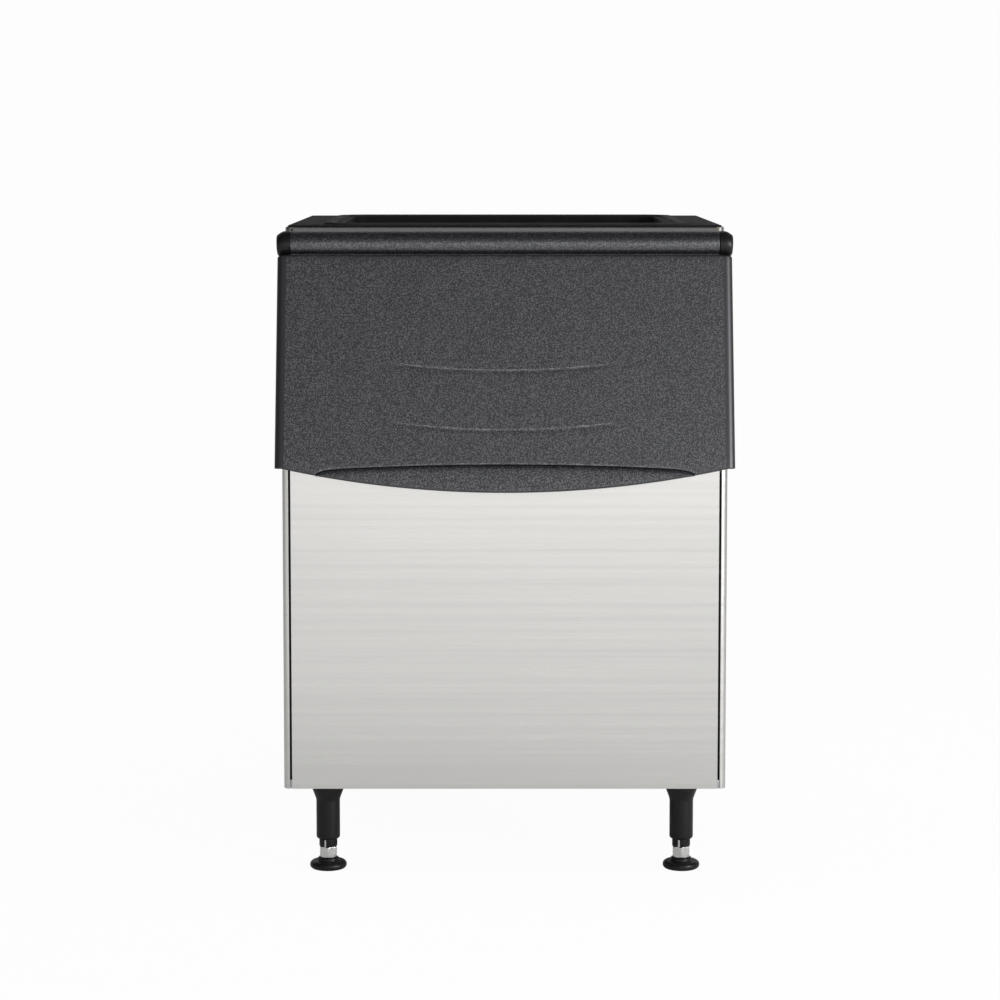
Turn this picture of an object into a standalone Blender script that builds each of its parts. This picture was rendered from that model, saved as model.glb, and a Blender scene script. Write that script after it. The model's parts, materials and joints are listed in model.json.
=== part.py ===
"""Ice storage bin: an insulated steel cabinet on four legs, with a top-hinged plastic door.

Metres, +Z up, the door faces -Y. The origin is on the floor, in the middle of the bin's footprint box.
"""

import math

import bmesh
import bpy

# Cabinet
CABINET_WIDTH = 0.762
CABINET_DEPTH = 0.801
CABINET_BASE = 0.156  # floor to the underside of the cabinet
CABINET_TOP = 1.1195
KNEE_HEIGHT = 0.718  # where the upright front starts to lean back
LEAN_DEPTH = 0.116  # how far the front leans back by the top
CORNER_RADIUS = 0.012

# Sheets, walls and fits
STEEL = 0.001
PAN_SHEET = 0.0015
INSULATION = 0.050  # outside of the cabinet to the outside of the liner
LINER_WALL = 0.003
FRAME_WALL = 0.003
GAP = 0.0003  # between pieces that touch
SEAM = 0.0012  # open joint beside the front panels
OVERRUN = 0.008  # how far a cut passes the wall it goes through
FLANGE = 0.015  # turned edges of the sheet pieces

# Front panels and the frame round the door opening, measured up the leaning face from the knee
FRONT_FOLD = 0.014
HEADER_HEIGHT = 0.0459  # down from the top of the leaning face
HEADER_FOLD = 0.024
OPENING_LOW = 0.045
OPENING_TOP_MARGIN = 0.0879
OPENING_SIDE_MARGIN = 0.081
OPENING_RADIUS = 0.022

# Liner
FLOOR_FALL = 0.030
SUMP_DEPTH = 0.120  # level strip at the back of the floor
LINER_FLANGE = 0.015

# Top
TOP_INSET = 0.004
DROP_SIDE_MARGIN = 0.091  # from the side of the cabinet to the ice drop opening
DROP_FRONT = 0.190  # measured from the upright front
DROP_BACK_MARGIN = 0.066  # from the back of the opening to the back of the cabinet
DROP_RADIUS = 0.026
DROP_SKIRT = 0.040
GASKET_MARGIN = 0.012
GASKET_WIDTH = 0.018
GASKET_HEIGHT = 0.0025

# Hinge, measured down the leaning face from its top and out from it
HINGE_DROP = 0.0357
HINGE_STAND_OFF = 0.0245
ROLL_RADIUS = 0.0222
BRACKET_WIDTH = 0.0225
BRACKET_OVERHANG = 0.012  # past the side of the cabinet
EAR_THICKNESS = 0.006
EAR_REACH = 0.062
EAR_RADIUS = 0.015
EAR_TIP_RADIUS = 0.013
PIN_RADIUS = 0.005
PIN_SEAT = 0.014
BUSH_WALL = 0.0022
BUSH_LENGTH = 0.022
BUSH_FLANGE = 0.0014
BUSH_FLANGE_RADIUS = 0.0095
SCREW_RADIUS = 0.0025
SCREW_LENGTH = 0.014
SCREW_HEAD_RADIUS = 0.0052
SCREW_HEAD_HEIGHT = 0.0026
SCREW_SPACING = 0.022

# Door
DOOR_OVERHANG = 0.0095  # past each side of the cabinet
DOOR_THICKNESS = 0.040
DOOR_BELOW_KNEE = 0.0591
DOOR_SAG = 0.0435  # how far the middle of the lower edge hangs below its ends
DOOR_UNDERCUT = 0.010  # how far the lower edge rises towards the back
DOOR_EDGE_RADIUS = 0.012
DOOR_CORNER_RADIUS = 0.014
DOOR_WALL = 0.004
DOOR_LINER_WALL = 0.003
PULL_BAND = 0.062  # thick lower edge that carries the pull
NECK_GAP = 0.002
NECK_FRONT = 0.009
SCOOP_MARGIN = 0.0735  # side of the door to the tip of the pull
SCOOP_HEIGHT = 0.0455
SCOOP_SAG = 0.0176
SCOOP_DEPTH = 0.009
CREASE_MARGIN = 0.1825
CREASE_SAG = 0.015
CREASE_WIDTH = 0.003
CREASE_DEPTH = 0.0008
CREASE_DROPS = (0.228, 0.331)  # below the hinge axis
SEAL_MARGIN = 0.008
SEAL_WIDTH = 0.014

# Legs
LEG_SIDE_INSET = 0.072
LEG_INSET = 0.070  # leg axis to the front and to the back of the cabinet
LEG_FLARE_RADIUS = 0.0272
LEG_RADIUS = 0.0206
LEG_FLARE_LOW = 0.128
LEG_SHOULDER_HEIGHT = 0.058
LEG_SHOULDER_ROUND = 0.0048
COLLAR_RADIUS = 0.0157
COLLAR_LOW = 0.040
SLOT_WIDTH = 0.0045
SLOT_HEIGHT = 0.014
SLOT_TURN = math.radians(-20)
STUD_RADIUS = 0.006
SOCKET_SIZE = 0.064
SOCKET_SHEET = 0.004
SOCKET_BOSS_RADIUS = 0.012
SOCKET_BOSS_HEIGHT = 0.010
STEM_RADIUS = 0.008
STEM_TOP = 0.100
STEM_HEADROOM = 0.006
HEX_FLATS = 0.0283
HEX_LOW = 0.0205
STEM_FOOT_RADIUS = 0.010
STEM_FOOT_LOW = 0.008
PAD_RADIUS = 0.0322
PAD_THICKNESS = 0.014
HUB_RADIUS = 0.0185

# Drain
DRAIN_RADIUS = 0.0125
DRAIN_BORE = 0.0095
DRAIN_FLANGE_RADIUS = 0.024
DRAIN_FLANGE = 0.003
DRAIN_TAIL = 0.026
DRAIN_NUT_FLATS = 0.038
DRAIN_NUT_HEIGHT = 0.010
STRAINER_RADIUS = 0.022
STRAINER_SHEET = 0.0015
STRAINER_HOLE = 0.0022
STRAINER_RING = 0.0125
STRAINER_HOLES = 8

# Ice baffle inside the door opening
BAFFLE_SHEET = 0.0015
BAFFLE_MARGIN = 0.015  # side of the opening to the side of the baffle
BAFFLE_ABOVE = 0.046  # top of the opening to the top of the baffle
BAFFLE_HEIGHT = 0.171
BAFFLE_LIP = 0.014
KNOB_INSET = 0.060
KNOB_DROP = 0.022
KNOB_RADIUS = 0.012
KNOB_HEIGHT = 0.011
KNOB_STUD_RADIUS = 0.003
KNOB_STUD_LENGTH = 0.012

# Facets
ROUND_SIDES = 24
FINE_SIDES = 32
SMALL_SIDES = 12
HOLE_SIDES = 8
CORNER_STEPS = 4
RIM_STEPS = 6
EDGE_STEPS = 5
ARC_STEPS = 28
SCOOP_STEPS = 20
CREASE_STEPS = 16
SMOOTH_ANGLE = math.radians(32)

# Shares
ROUND_PROFILE_SHARE = 0.5
SCREW_CROWN_SHARE = 0.7  # flat of the screw head, of its radius
KNOB_EDGE_SHARE = 0.8  # where the knob's edge starts to narrow, and its flat end
CAP_SHARES = ((0.0, 0.43, 0.155), (0.167, 0.855, -0.11), (0.563, 1.0, 0.0), (1.0, 1.0, 0.0))

# Worked out
HALF_WIDTH = CABINET_WIDTH / 2
LEAN = math.atan2(LEAN_DEPTH, CABINET_TOP - KNEE_HEIGHT)
FACE_LENGTH = math.hypot(LEAN_DEPTH, CABINET_TOP - KNEE_HEIGHT)
HEADER_LOW = FACE_LENGTH - HEADER_HEIGHT
OPENING_HIGH = FACE_LENGTH - OPENING_TOP_MARGIN
OPENING_HALF = HALF_WIDTH - OPENING_SIDE_MARGIN
HINGE_RISE = FACE_LENGTH - HINGE_DROP
DOOR_DROP = HINGE_RISE + DOOR_BELOW_KNEE
HINGE_DEPTH = HINGE_RISE * math.sin(LEAN) - HINGE_STAND_OFF * math.cos(LEAN)
EDGE_CENTRE_OUT = ROLL_RADIUS - DOOR_EDGE_RADIUS
EDGE_CENTRE_DROP = DOOR_DROP - DOOR_EDGE_RADIUS
DOOR_REACH = (
    EDGE_CENTRE_OUT * math.cos(LEAN)
    + EDGE_CENTRE_DROP * math.sin(LEAN)
    + DOOR_EDGE_RADIUS
    - HINGE_DEPTH
)
FRONT = (DOOR_REACH - CABINET_DEPTH) / 2
BACK = FRONT + CABINET_DEPTH
FOAM_INSET = STEEL * 2 + PAN_SHEET + GAP * 3
PANEL_HALF_WIDTH = HALF_WIDTH - CORNER_RADIUS - SEAM
DOOR_HALF_WIDTH = HALF_WIDTH + DOOR_OVERHANG
DOOR_BACK = DOOR_THICKNESS - ROLL_RADIUS
DOOR_TOP = ROLL_RADIUS + NECK_GAP
BUSH_RADIUS = PIN_RADIUS + GAP + BUSH_WALL
BRACKET_OUTER = HALF_WIDTH + BRACKET_OVERHANG
BRACKET_INNER = BRACKET_OUTER - BRACKET_WIDTH
ROLL_HALF = BRACKET_INNER - BUSH_FLANGE - GAP * 2
LINER_HALF_WIDTH = HALF_WIDTH - INSULATION
SUMP_HEIGHT = CABINET_BASE + INSULATION
DRAIN_Y = BACK - INSULATION - SUMP_DEPTH / 2
FACE_INNER = INSULATION + LINER_WALL
LEG_X = HALF_WIDTH - LEG_SIDE_INSET
BAFFLE_HALF = OPENING_HALF - BAFFLE_MARGIN
BAFFLE_HIGH = OPENING_HIGH + BAFFLE_ABOVE
BAFFLE_LOW = BAFFLE_HIGH - BAFFLE_HEIGHT
KNOB_X = BAFFLE_HALF - KNOB_INSET
KNOB_RISE = BAFFLE_HIGH - KNOB_DROP
SOCKET_LOW = CABINET_BASE + PAN_SHEET + GAP
SOCKET_TOP = SOCKET_LOW + SOCKET_SHEET + SOCKET_BOSS_HEIGHT
TOP_UNDERSIDE = CABINET_TOP + GAP
TOP_FACE = TOP_UNDERSIDE + FRAME_WALL

FINISHES = {
    "stainless": ((0.62, 0.61, 0.59), 0.32, 1.0),
    "galvanised": ((0.55, 0.57, 0.58), 0.48, 0.9),
    "charcoal_plastic": ((0.055, 0.056, 0.06), 0.55, 0.0),
    "black_plastic": ((0.02, 0.02, 0.022), 0.4, 0.0),
    "liner_plastic": ((0.82, 0.83, 0.83), 0.45, 0.0),
    "foam": ((0.80, 0.74, 0.55), 0.9, 0.0),
    "rubber": ((0.03, 0.03, 0.03), 0.8, 0.0),
    "nylon": ((0.85, 0.84, 0.80), 0.5, 0.0),
}


def clear_scene():
    for old in list(bpy.data.objects):
        bpy.data.objects.remove(old, do_unlink=True)


def finish_material(name, finish):
    colour, roughness, metallic = FINISHES[finish]
    material = bpy.data.materials.new(name)
    material.use_nodes = True
    shader = material.node_tree.nodes["Principled BSDF"]
    shader.inputs["Base Color"].default_value = (*colour, 1.0)
    shader.inputs["Roughness"].default_value = roughness
    shader.inputs["Metallic"].default_value = metallic
    material.diffuse_color = (*colour, 1.0)
    return material


def add_object(name, bm, parent=None, location=(0, 0, 0)):
    bmesh.ops.recalc_face_normals(bm, faces=bm.faces)
    mesh = bpy.data.meshes.new(name)
    bm.to_mesh(mesh)
    bm.free()
    made = bpy.data.objects.new(name, mesh)
    made.parent = parent
    made.location = location
    bpy.context.scene.collection.objects.link(made)
    return made


def add_piece(name, bm, finish, parent=None, location=(0, 0, 0)):
    piece = add_object(name, bm, parent, location)
    piece.data.materials.append(finish_material(name, finish))
    piece.data.shade_smooth()
    piece.data.set_sharp_from_angle(angle=SMOOTH_ANGLE)
    return piece


def add_empty(name, location, rotation=(0, 0, 0)):
    empty = bpy.data.objects.new(name, None)
    empty.location = location
    empty.rotation_euler = rotation
    bpy.context.scene.collection.objects.link(empty)
    return empty


def combine(piece, tool, operation):
    modifier = piece.modifiers.new(operation.lower(), "BOOLEAN")
    modifier.solver = "EXACT"
    modifier.operation = operation
    modifier.object = tool


def cut(piece, bm, parent=None, location=(0, 0, 0)):
    combine(piece, add_tool(piece.name + "_cutter", bm, parent, location), "DIFFERENCE")


def join(piece, bm, parent=None, location=(0, 0, 0)):
    combine(piece, add_tool(piece.name + "_addition", bm, parent, location), "UNION")


def add_tool(name, bm, parent, location):
    tool = add_object(name, bm, parent, location)
    tool.hide_render = True
    tool.display_type = "WIRE"
    return tool


def place(axis, along, first, second):
    """The point at `along` on the named axis, with the other two coordinates in X, Y, Z order."""
    if axis == "X":
        return (along, first, second)
    if axis == "Y":
        return (first, along, second)
    return (first, second, along)


def loft(rings, bm=None, closed=False):
    """Skin a row of point rings, and cap both ends unless the row closes on itself."""
    bm = bm or bmesh.new()
    made = [[bm.verts.new(point) for point in ring] for ring in rings]
    count = len(rings[0])
    pairs = list(zip(made, made[1:]))
    if closed:
        pairs.append((made[-1], made[0]))
    else:
        bm.faces.new(made[0])
        bm.faces.new(made[-1])
    for low, high in pairs:
        for i in range(count):
            after = (i + 1) % count
            bm.faces.new((low[i], low[after], high[after], high[i]))
    return bm


def extruded(outline, axis, start, stop, bm=None):
    return loft([[place(axis, along, *point) for point in outline] for along in (start, stop)], bm)


def box(low, high, bm=None):
    outline = [(low[0], low[1]), (high[0], low[1]), (high[0], high[1]), (low[0], high[1])]
    return extruded(outline, "Z", low[2], high[2], bm)


def circle(radius, sides, centre=(0, 0), turn=0.0):
    steps = [turn + math.tau * i / sides for i in range(sides)]
    return [(centre[0] + radius * math.cos(a), centre[1] + radius * math.sin(a)) for a in steps]


def rod(radius, axis, start, stop, centre=(0, 0), sides=SMALL_SIDES, bm=None):
    return extruded(circle(radius, sides, centre), axis, start, stop, bm)


def turned(profile, sides=ROUND_SIDES, closed=False, axis="Z"):
    rings = [
        [place(axis, height, *point) for point in circle(radius, sides)]
        for radius, height in profile
    ]
    return loft(rings, closed=closed)


def hexagon(flats, centre=(0, 0), turn=0.0):
    return circle(flats / 2 / math.cos(math.pi / 6), 6, centre, turn)


def arc(centre, radius, start, stop, steps):
    angles = [start + (stop - start) * i / steps for i in range(steps + 1)]
    return [(centre[0] + radius * math.cos(a), centre[1] + radius * math.sin(a)) for a in angles]


def rounded_rectangle(low, high, radius, steps=CORNER_STEPS):
    centres = [
        (high[0] - radius, high[1] - radius),
        (low[0] + radius, high[1] - radius),
        (low[0] + radius, low[1] + radius),
        (high[0] - radius, low[1] + radius),
    ]
    points = []
    for i, centre in enumerate(centres):
        points += arc(centre, radius, math.pi / 2 * i, math.pi / 2 * (i + 1), steps)
    return points


def on_face(rise, out):
    """World Y and Z of a point up the leaning face from the knee and out from the face."""
    y = FRONT + rise * math.sin(LEAN) - out * math.cos(LEAN)
    z = KNEE_HEIGHT + rise * math.cos(LEAN) + out * math.sin(LEAN)
    return (y, z)


def face_y(height, inset):
    """World Y of the leaning face, moved inward by an inset, at a height."""
    return FRONT + (height - KNEE_HEIGHT) * math.tan(LEAN) + inset / math.cos(LEAN)


def knee_z(inset):
    return KNEE_HEIGHT - inset * math.tan(LEAN / 2)


def side_outline(inset, bottom_front, bottom_back, top, sump=0.0):
    """The cabinet's side view, drawn inward by an inset, between two floor heights and a top."""
    level = [(BACK - inset - sump, bottom_back)] if sump else []
    return [
        (FRONT + inset, bottom_front),
        *level,
        (BACK - inset, bottom_back),
        (BACK - inset, top),
        (face_y(top, inset), top),
        (FRONT + inset, knee_z(inset)),
    ]


def front_panel():
    outline = [
        (FRONT, CABINET_BASE),
        (FRONT, KNEE_HEIGHT),
        on_face(FRONT_FOLD, 0),
        on_face(FRONT_FOLD, -STEEL),
        (FRONT + STEEL, knee_z(STEEL)),
        (FRONT + STEEL, CABINET_BASE),
    ]
    bm = extruded(outline, "X", -PANEL_HALF_WIDTH, PANEL_HALF_WIDTH)
    add_piece("front_panel", bm, "stainless")


def header_panel():
    top_y = face_y(CABINET_TOP, 0)
    outline = [
        on_face(HEADER_LOW, 0),
        (top_y, CABINET_TOP),
        (top_y + HEADER_FOLD, CABINET_TOP),
        (top_y + HEADER_FOLD, CABINET_TOP - STEEL),
        (face_y(CABINET_TOP - STEEL, STEEL), CABINET_TOP - STEEL),
        on_face(HEADER_LOW, -STEEL),
    ]
    bm = extruded(outline, "X", -PANEL_HALF_WIDTH, PANEL_HALF_WIDTH)
    add_piece("header_panel", bm, "stainless")


def side_panel(name, side):
    """A flat side whose front edge is rolled round the corner, following the leaning front."""
    rings = []
    for height in (CABINET_BASE, KNEE_HEIGHT, CABINET_TOP):
        front = FRONT if height < KNEE_HEIGHT else face_y(height, 0)
        centre = (HALF_WIDTH - CORNER_RADIUS, front + CORNER_RADIUS)
        rear = BACK - GAP
        outer = [(HALF_WIDTH, rear)] + arc(centre, CORNER_RADIUS, 0, -math.pi / 2, EDGE_STEPS)
        inner = arc(centre, CORNER_RADIUS - STEEL, -math.pi / 2, 0, EDGE_STEPS)
        inner.append((HALF_WIDTH - STEEL, rear))
        rings.append([(side * x, y, height) for x, y in outer + inner])
    panel = add_piece(name, loft(rings), "stainless")
    holes = bmesh.new()
    for y, z in ear_holes():
        reach = sorted((side * (HALF_WIDTH - STEEL - OVERRUN), side * (HALF_WIDTH + OVERRUN)))
        rod(SCREW_RADIUS + GAP, "X", *reach, centre=(y, z), bm=holes)
    cut(panel, holes)


def back_panel():
    half = HALF_WIDTH - STEEL - GAP
    outline = [
        (-half, BACK),
        (half, BACK),
        (half, BACK - FLANGE),
        (half - STEEL, BACK - FLANGE),
        (half - STEEL, BACK - STEEL),
        (STEEL - half, BACK - STEEL),
        (STEEL - half, BACK - FLANGE),
        (-half, BACK - FLANGE),
    ]
    add_piece("back_panel", extruded(outline, "Z", CABINET_BASE, CABINET_TOP), "galvanised")


def leg_places():
    return [
        (name, x, y)
        for name, x, y in (
            ("front_left", -LEG_X, FRONT + LEG_INSET),
            ("front_right", LEG_X, FRONT + LEG_INSET),
            ("rear_left", -LEG_X, BACK - LEG_INSET),
            ("rear_right", LEG_X, BACK - LEG_INSET),
        )
    ]


def bottom_panel():
    half = HALF_WIDTH - STEEL * 2 - GAP * 2
    front = FRONT + STEEL + GAP
    back = BACK - STEEL - GAP
    radius = CORNER_RADIUS
    outline = rounded_rectangle((-half, front), (half, back), radius)
    panel = add_piece(
        "bottom_panel", extruded(outline, "Z", CABINET_BASE, CABINET_BASE + FLANGE), "galvanised"
    )
    low = (PAN_SHEET - half, front + PAN_SHEET)
    high = (half - PAN_SHEET, back - PAN_SHEET)
    hollow = rounded_rectangle(low, high, radius - PAN_SHEET)
    floor = CABINET_BASE + PAN_SHEET
    cut(panel, extruded(hollow, "Z", floor, CABINET_BASE + FLANGE + OVERRUN))
    holes = bmesh.new()
    reach = (CABINET_BASE - OVERRUN, floor + OVERRUN)
    for _, x, y in leg_places():
        rod(STUD_RADIUS + GAP, "Z", *reach, centre=(x, y), bm=holes)
    rod(DRAIN_RADIUS + GAP, "Z", *reach, centre=(0, DRAIN_Y), bm=holes, sides=ROUND_SIDES)
    cut(panel, holes)


def foam_insulation(face):
    floor = CABINET_BASE + PAN_SHEET + GAP
    top = CABINET_TOP - LINER_WALL - GAP * 2
    half = HALF_WIDTH - FOAM_INSET
    bm = extruded(side_outline(FOAM_INSET, floor, floor, top), "X", -half, half)
    spans = [(edge, edge.verts[1].co - edge.verts[0].co) for edge in bm.edges]
    uprights = [edge for edge, span in spans if abs(span.x) < GAP < abs(span.z)]
    bmesh.ops.bevel(
        bm,
        geom=uprights,
        offset=CORNER_RADIUS,
        segments=CORNER_STEPS // 2,
        profile=ROUND_PROFILE_SHARE,
        affect="EDGES",
    )
    foam = add_piece("foam_insulation", bm, "foam")
    cut(foam, liner_block(-GAP))
    width = OPENING_HALF + FRAME_WALL + GAP
    low = OPENING_LOW - FRAME_WALL - GAP
    high = OPENING_HIGH + FRAME_WALL + GAP
    sleeve = rounded_rectangle((-width, low), (width, high), OPENING_RADIUS + FRAME_WALL)
    cut(foam, extruded(sleeve, "Y", -OVERRUN, FACE_INNER), face)
    pockets = bmesh.new()
    reach = SOCKET_SIZE / 2 + GAP
    for _, x, y in leg_places():
        low = (x - reach, y - reach, floor - OVERRUN)
        box(low, (x + reach, y + reach, SOCKET_TOP + GAP), pockets)
    drain_reach = (floor - OVERRUN, SUMP_HEIGHT + OVERRUN)
    rod(DRAIN_RADIUS + GAP, "Z", *drain_reach, centre=(0, DRAIN_Y), bm=pockets, sides=ROUND_SIDES)
    for side in (-1, 1):
        reach = sorted((side * HALF_WIDTH, side * (HALF_WIDTH - SCREW_LENGTH - GAP)))
        for y, z in ear_holes():
            rod(SCREW_RADIUS + GAP, "X", *reach, centre=(y, z), bm=pockets)
    cut(foam, pockets)
    stud_holes = bmesh.new()
    stud_reach = (FACE_INNER - KNOB_STUD_LENGTH - GAP, INSULATION + OVERRUN)
    for side in (-1, 1):
        rod(KNOB_STUD_RADIUS + GAP, "Y", *stud_reach, centre=(side * KNOB_X, KNOB_RISE), bm=stud_holes)
    cut(foam, stud_holes, face)


def liner_block(inset, top=CABINET_TOP + OVERRUN):
    """The storage space's outside, drawn inward by an inset, up to a height."""
    edge = INSULATION + inset
    low = SUMP_HEIGHT + inset
    outline = side_outline(edge, low + FLOOR_FALL, low, top, SUMP_DEPTH)
    half = LINER_HALF_WIDTH - inset
    return extruded(outline, "X", -half, half)


def liner(face):
    top = CABINET_TOP - GAP
    tub = add_piece("liner", liner_block(0, top), "liner_plastic")
    front = face_y(top, INSULATION) - LINER_FLANGE
    back = BACK - INSULATION + LINER_FLANGE
    half = LINER_HALF_WIDTH + LINER_FLANGE
    join(tub, box((-half, front, top - LINER_WALL), (half, back, top)))
    cut(tub, liner_block(LINER_WALL))
    width = OPENING_HALF + FRAME_WALL + GAP
    low = OPENING_LOW - FRAME_WALL - GAP
    high = OPENING_HIGH + FRAME_WALL + GAP
    hole = rounded_rectangle((-width, low), (width, high), OPENING_RADIUS + FRAME_WALL)
    reach = (INSULATION - OVERRUN, FACE_INNER + OVERRUN)
    cut(tub, extruded(hole, "Y", *reach), face)
    studs = bmesh.new()
    for side in (-1, 1):
        rod(KNOB_STUD_RADIUS + GAP, "Y", *reach, centre=(side * KNOB_X, KNOB_RISE), bm=studs)
    cut(tub, studs, face)
    drain_reach = (SUMP_HEIGHT - OVERRUN, SUMP_HEIGHT + LINER_WALL + OVERRUN)
    cut(tub, rod(DRAIN_RADIUS + GAP, "Z", *drain_reach, centre=(0, DRAIN_Y), sides=ROUND_SIDES))


def door_frame(face):
    """A flat moulded surround on the leaning face, with a sleeve through to the storage space."""
    low = FRONT_FOLD + GAP
    high = HEADER_LOW - GAP
    plate = [
        (-PANEL_HALF_WIDTH, low),
        (PANEL_HALF_WIDTH, low),
        (PANEL_HALF_WIDTH, high),
        (-PANEL_HALF_WIDTH, high),
    ]
    frame = add_piece("door_frame", extruded(plate, "Y", 0, FRAME_WALL), "black_plastic", face)
    width = OPENING_HALF + FRAME_WALL
    sleeve = rounded_rectangle(
        (-width, OPENING_LOW - FRAME_WALL),
        (width, OPENING_HIGH + FRAME_WALL),
        OPENING_RADIUS + FRAME_WALL,
    )
    join(frame, extruded(sleeve, "Y", FRAME_WALL / 2, FACE_INNER), face)
    opening = rounded_rectangle((-OPENING_HALF, OPENING_LOW), (OPENING_HALF, OPENING_HIGH), OPENING_RADIUS)
    cut(frame, extruded(opening, "Y", -OVERRUN, FACE_INNER + OVERRUN), face)


def drop_outline(margin):
    """The ice drop opening's outline, drawn outward by a margin."""
    half = HALF_WIDTH - DROP_SIDE_MARGIN + margin
    low = (-half, FRONT + DROP_FRONT - margin)
    high = (half, BACK - DROP_BACK_MARGIN + margin)
    return rounded_rectangle(low, high, DROP_RADIUS + margin)


def top_frame():
    half = HALF_WIDTH - TOP_INSET
    low = (-half, FRONT + LEAN_DEPTH + TOP_INSET)
    plate = rounded_rectangle(low, (half, BACK - TOP_INSET), CORNER_RADIUS)
    frame = add_piece("top_frame", extruded(plate, "Z", TOP_UNDERSIDE, TOP_FACE), "black_plastic")
    skirt_low = CABINET_TOP - DROP_SKIRT
    join(frame, extruded(drop_outline(FRAME_WALL), "Z", skirt_low, TOP_FACE - FRAME_WALL / 2))
    cut(frame, extruded(drop_outline(0), "Z", skirt_low - OVERRUN, TOP_FACE + OVERRUN))


def top_gasket():
    low = TOP_FACE + GAP
    high = low + GASKET_HEIGHT
    outer = drop_outline(GASKET_MARGIN + GASKET_WIDTH)
    gasket = add_piece("top_gasket", extruded(outer, "Z", low, high), "rubber")
    cut(gasket, extruded(drop_outline(GASKET_MARGIN), "Z", low - OVERRUN, high + OVERRUN))


def door_outline(half_width, top, lowest, corner, inset=0.0):
    """The door's front view: straight top and sides, a sagging lower edge and four round corners."""
    radius = (half_width**2 + DOOR_SAG**2) / (2 * DOOR_SAG)
    centre_z = radius - lowest
    corner_x = half_width - corner
    corner_z = centre_z - math.sqrt((radius - corner) ** 2 - corner_x**2)
    swing = math.asin(corner_x / (radius - corner))
    low_right = swing - math.pi / 2
    low_left = -swing - math.pi / 2
    tip = corner - inset
    points = arc((corner_x, -top - corner), tip, math.pi / 2, 0, CORNER_STEPS)
    points += arc((corner_x, corner_z), tip, 0, low_right, CORNER_STEPS)
    points += arc((0, centre_z), radius - inset, low_right, low_left, ARC_STEPS)[1:-1]
    points += arc((-corner_x, corner_z), tip, low_left, -math.pi, CORNER_STEPS)
    points += arc((-corner_x, -top - corner), tip, math.pi, math.pi / 2, CORNER_STEPS)
    return points


def door_ring(y, inset=0.0, rise=0.0):
    outline = door_outline(DOOR_HALF_WIDTH, DOOR_TOP, DOOR_DROP - rise, DOOR_CORNER_RADIUS, inset)
    return [(x, y, z) for x, z in outline]


def cavity_outline(clearance):
    """The hollow of the door, behind its face and above the thick lower edge."""
    edge = DOOR_WALL + clearance
    return door_outline(
        DOOR_HALF_WIDTH - edge,
        DOOR_TOP + edge,
        DOOR_DROP - PULL_BAND - clearance,
        DOOR_CORNER_RADIUS - clearance,
    )


def scoop_cutter():
    """A wedge that is deep along the upper arc and runs out at the lower edge and at both tips."""
    rings = []
    tip = DOOR_HALF_WIDTH - SCOOP_MARGIN
    lower_radius = (DOOR_HALF_WIDTH**2 + DOOR_SAG**2) / (2 * DOOR_SAG)
    front = -ROLL_RADIUS
    for i in range(SCOOP_STEPS + 1):
        share = 2 * i / SCOOP_STEPS - 1
        x = share * tip
        upper = SCOOP_HEIGHT - DOOR_DROP - SCOOP_SAG * share**2
        lower = -DOOR_DROP + lower_radius - math.sqrt(lower_radius**2 - x**2)
        depth = SCOOP_DEPTH * math.sqrt(max(1 - share**2, 0)) + GAP
        lower = min(lower, upper - OVERRUN)
        rings.append(
            [
                (x, front - OVERRUN, upper),
                (x, front + depth, upper),
                (x, front, lower),
                (x, front - OVERRUN, lower),
            ]
        )
    return loft(rings)


def crease_cutter(drop):
    """A shallow smile-shaped groove across the door's face."""
    half_width = DOOR_HALF_WIDTH - CREASE_MARGIN
    radius = (half_width**2 + CREASE_SAG**2) / (2 * CREASE_SAG)
    swing = math.asin(half_width / radius)
    centre = (0, radius - drop)
    start = -math.pi / 2 - swing
    stop = -math.pi / 2 + swing
    outline = arc(centre, radius + CREASE_WIDTH / 2, start, stop, CREASE_STEPS)
    outline += arc(centre, radius - CREASE_WIDTH / 2, stop, start, CREASE_STEPS)
    return extruded(outline, "Y", -ROLL_RADIUS - OVERRUN, CREASE_DEPTH - ROLL_RADIUS)


def door_shell(hinge):
    rings = [door_ring(DOOR_BACK, rise=DOOR_UNDERCUT)]
    for i in range(EDGE_STEPS + 1):
        angle = math.pi / 2 * i / EDGE_STEPS
        inset = DOOR_EDGE_RADIUS * (1 - math.cos(angle))
        y = DOOR_EDGE_RADIUS * (1 - math.sin(angle)) - ROLL_RADIUS
        rings.append(door_ring(y, inset))
    shell = add_piece("door_shell", loft(rings), "charcoal_plastic", hinge)
    neck_low = -DOOR_TOP - DOOR_WALL / 2
    neck_back = DOOR_BACK - DOOR_WALL
    join(
        shell,
        box((-ROLL_HALF, -NECK_FRONT, neck_low), (ROLL_HALF, neck_back, -ROLL_RADIUS / 2)),
        hinge,
    )
    join(shell, rod(ROLL_RADIUS, "X", -ROLL_HALF, ROLL_HALF, sides=FINE_SIDES), hinge)
    cavity = cavity_outline(0)
    cut(shell, extruded(cavity, "Y", DOOR_WALL - ROLL_RADIUS, DOOR_BACK + OVERRUN), hinge)
    cut(shell, scoop_cutter(), hinge)
    for drop in CREASE_DROPS:
        cut(shell, crease_cutter(drop), hinge)
    bores = bmesh.new()
    depth = BUSH_LENGTH + GAP
    for side in (-1, 1):
        reach = sorted((side * (ROLL_HALF - depth), side * (ROLL_HALF + OVERRUN)))
        rod(BUSH_RADIUS + GAP, "X", *reach, bm=bores, sides=ROUND_SIDES)
    cut(shell, bores, hinge)


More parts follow.
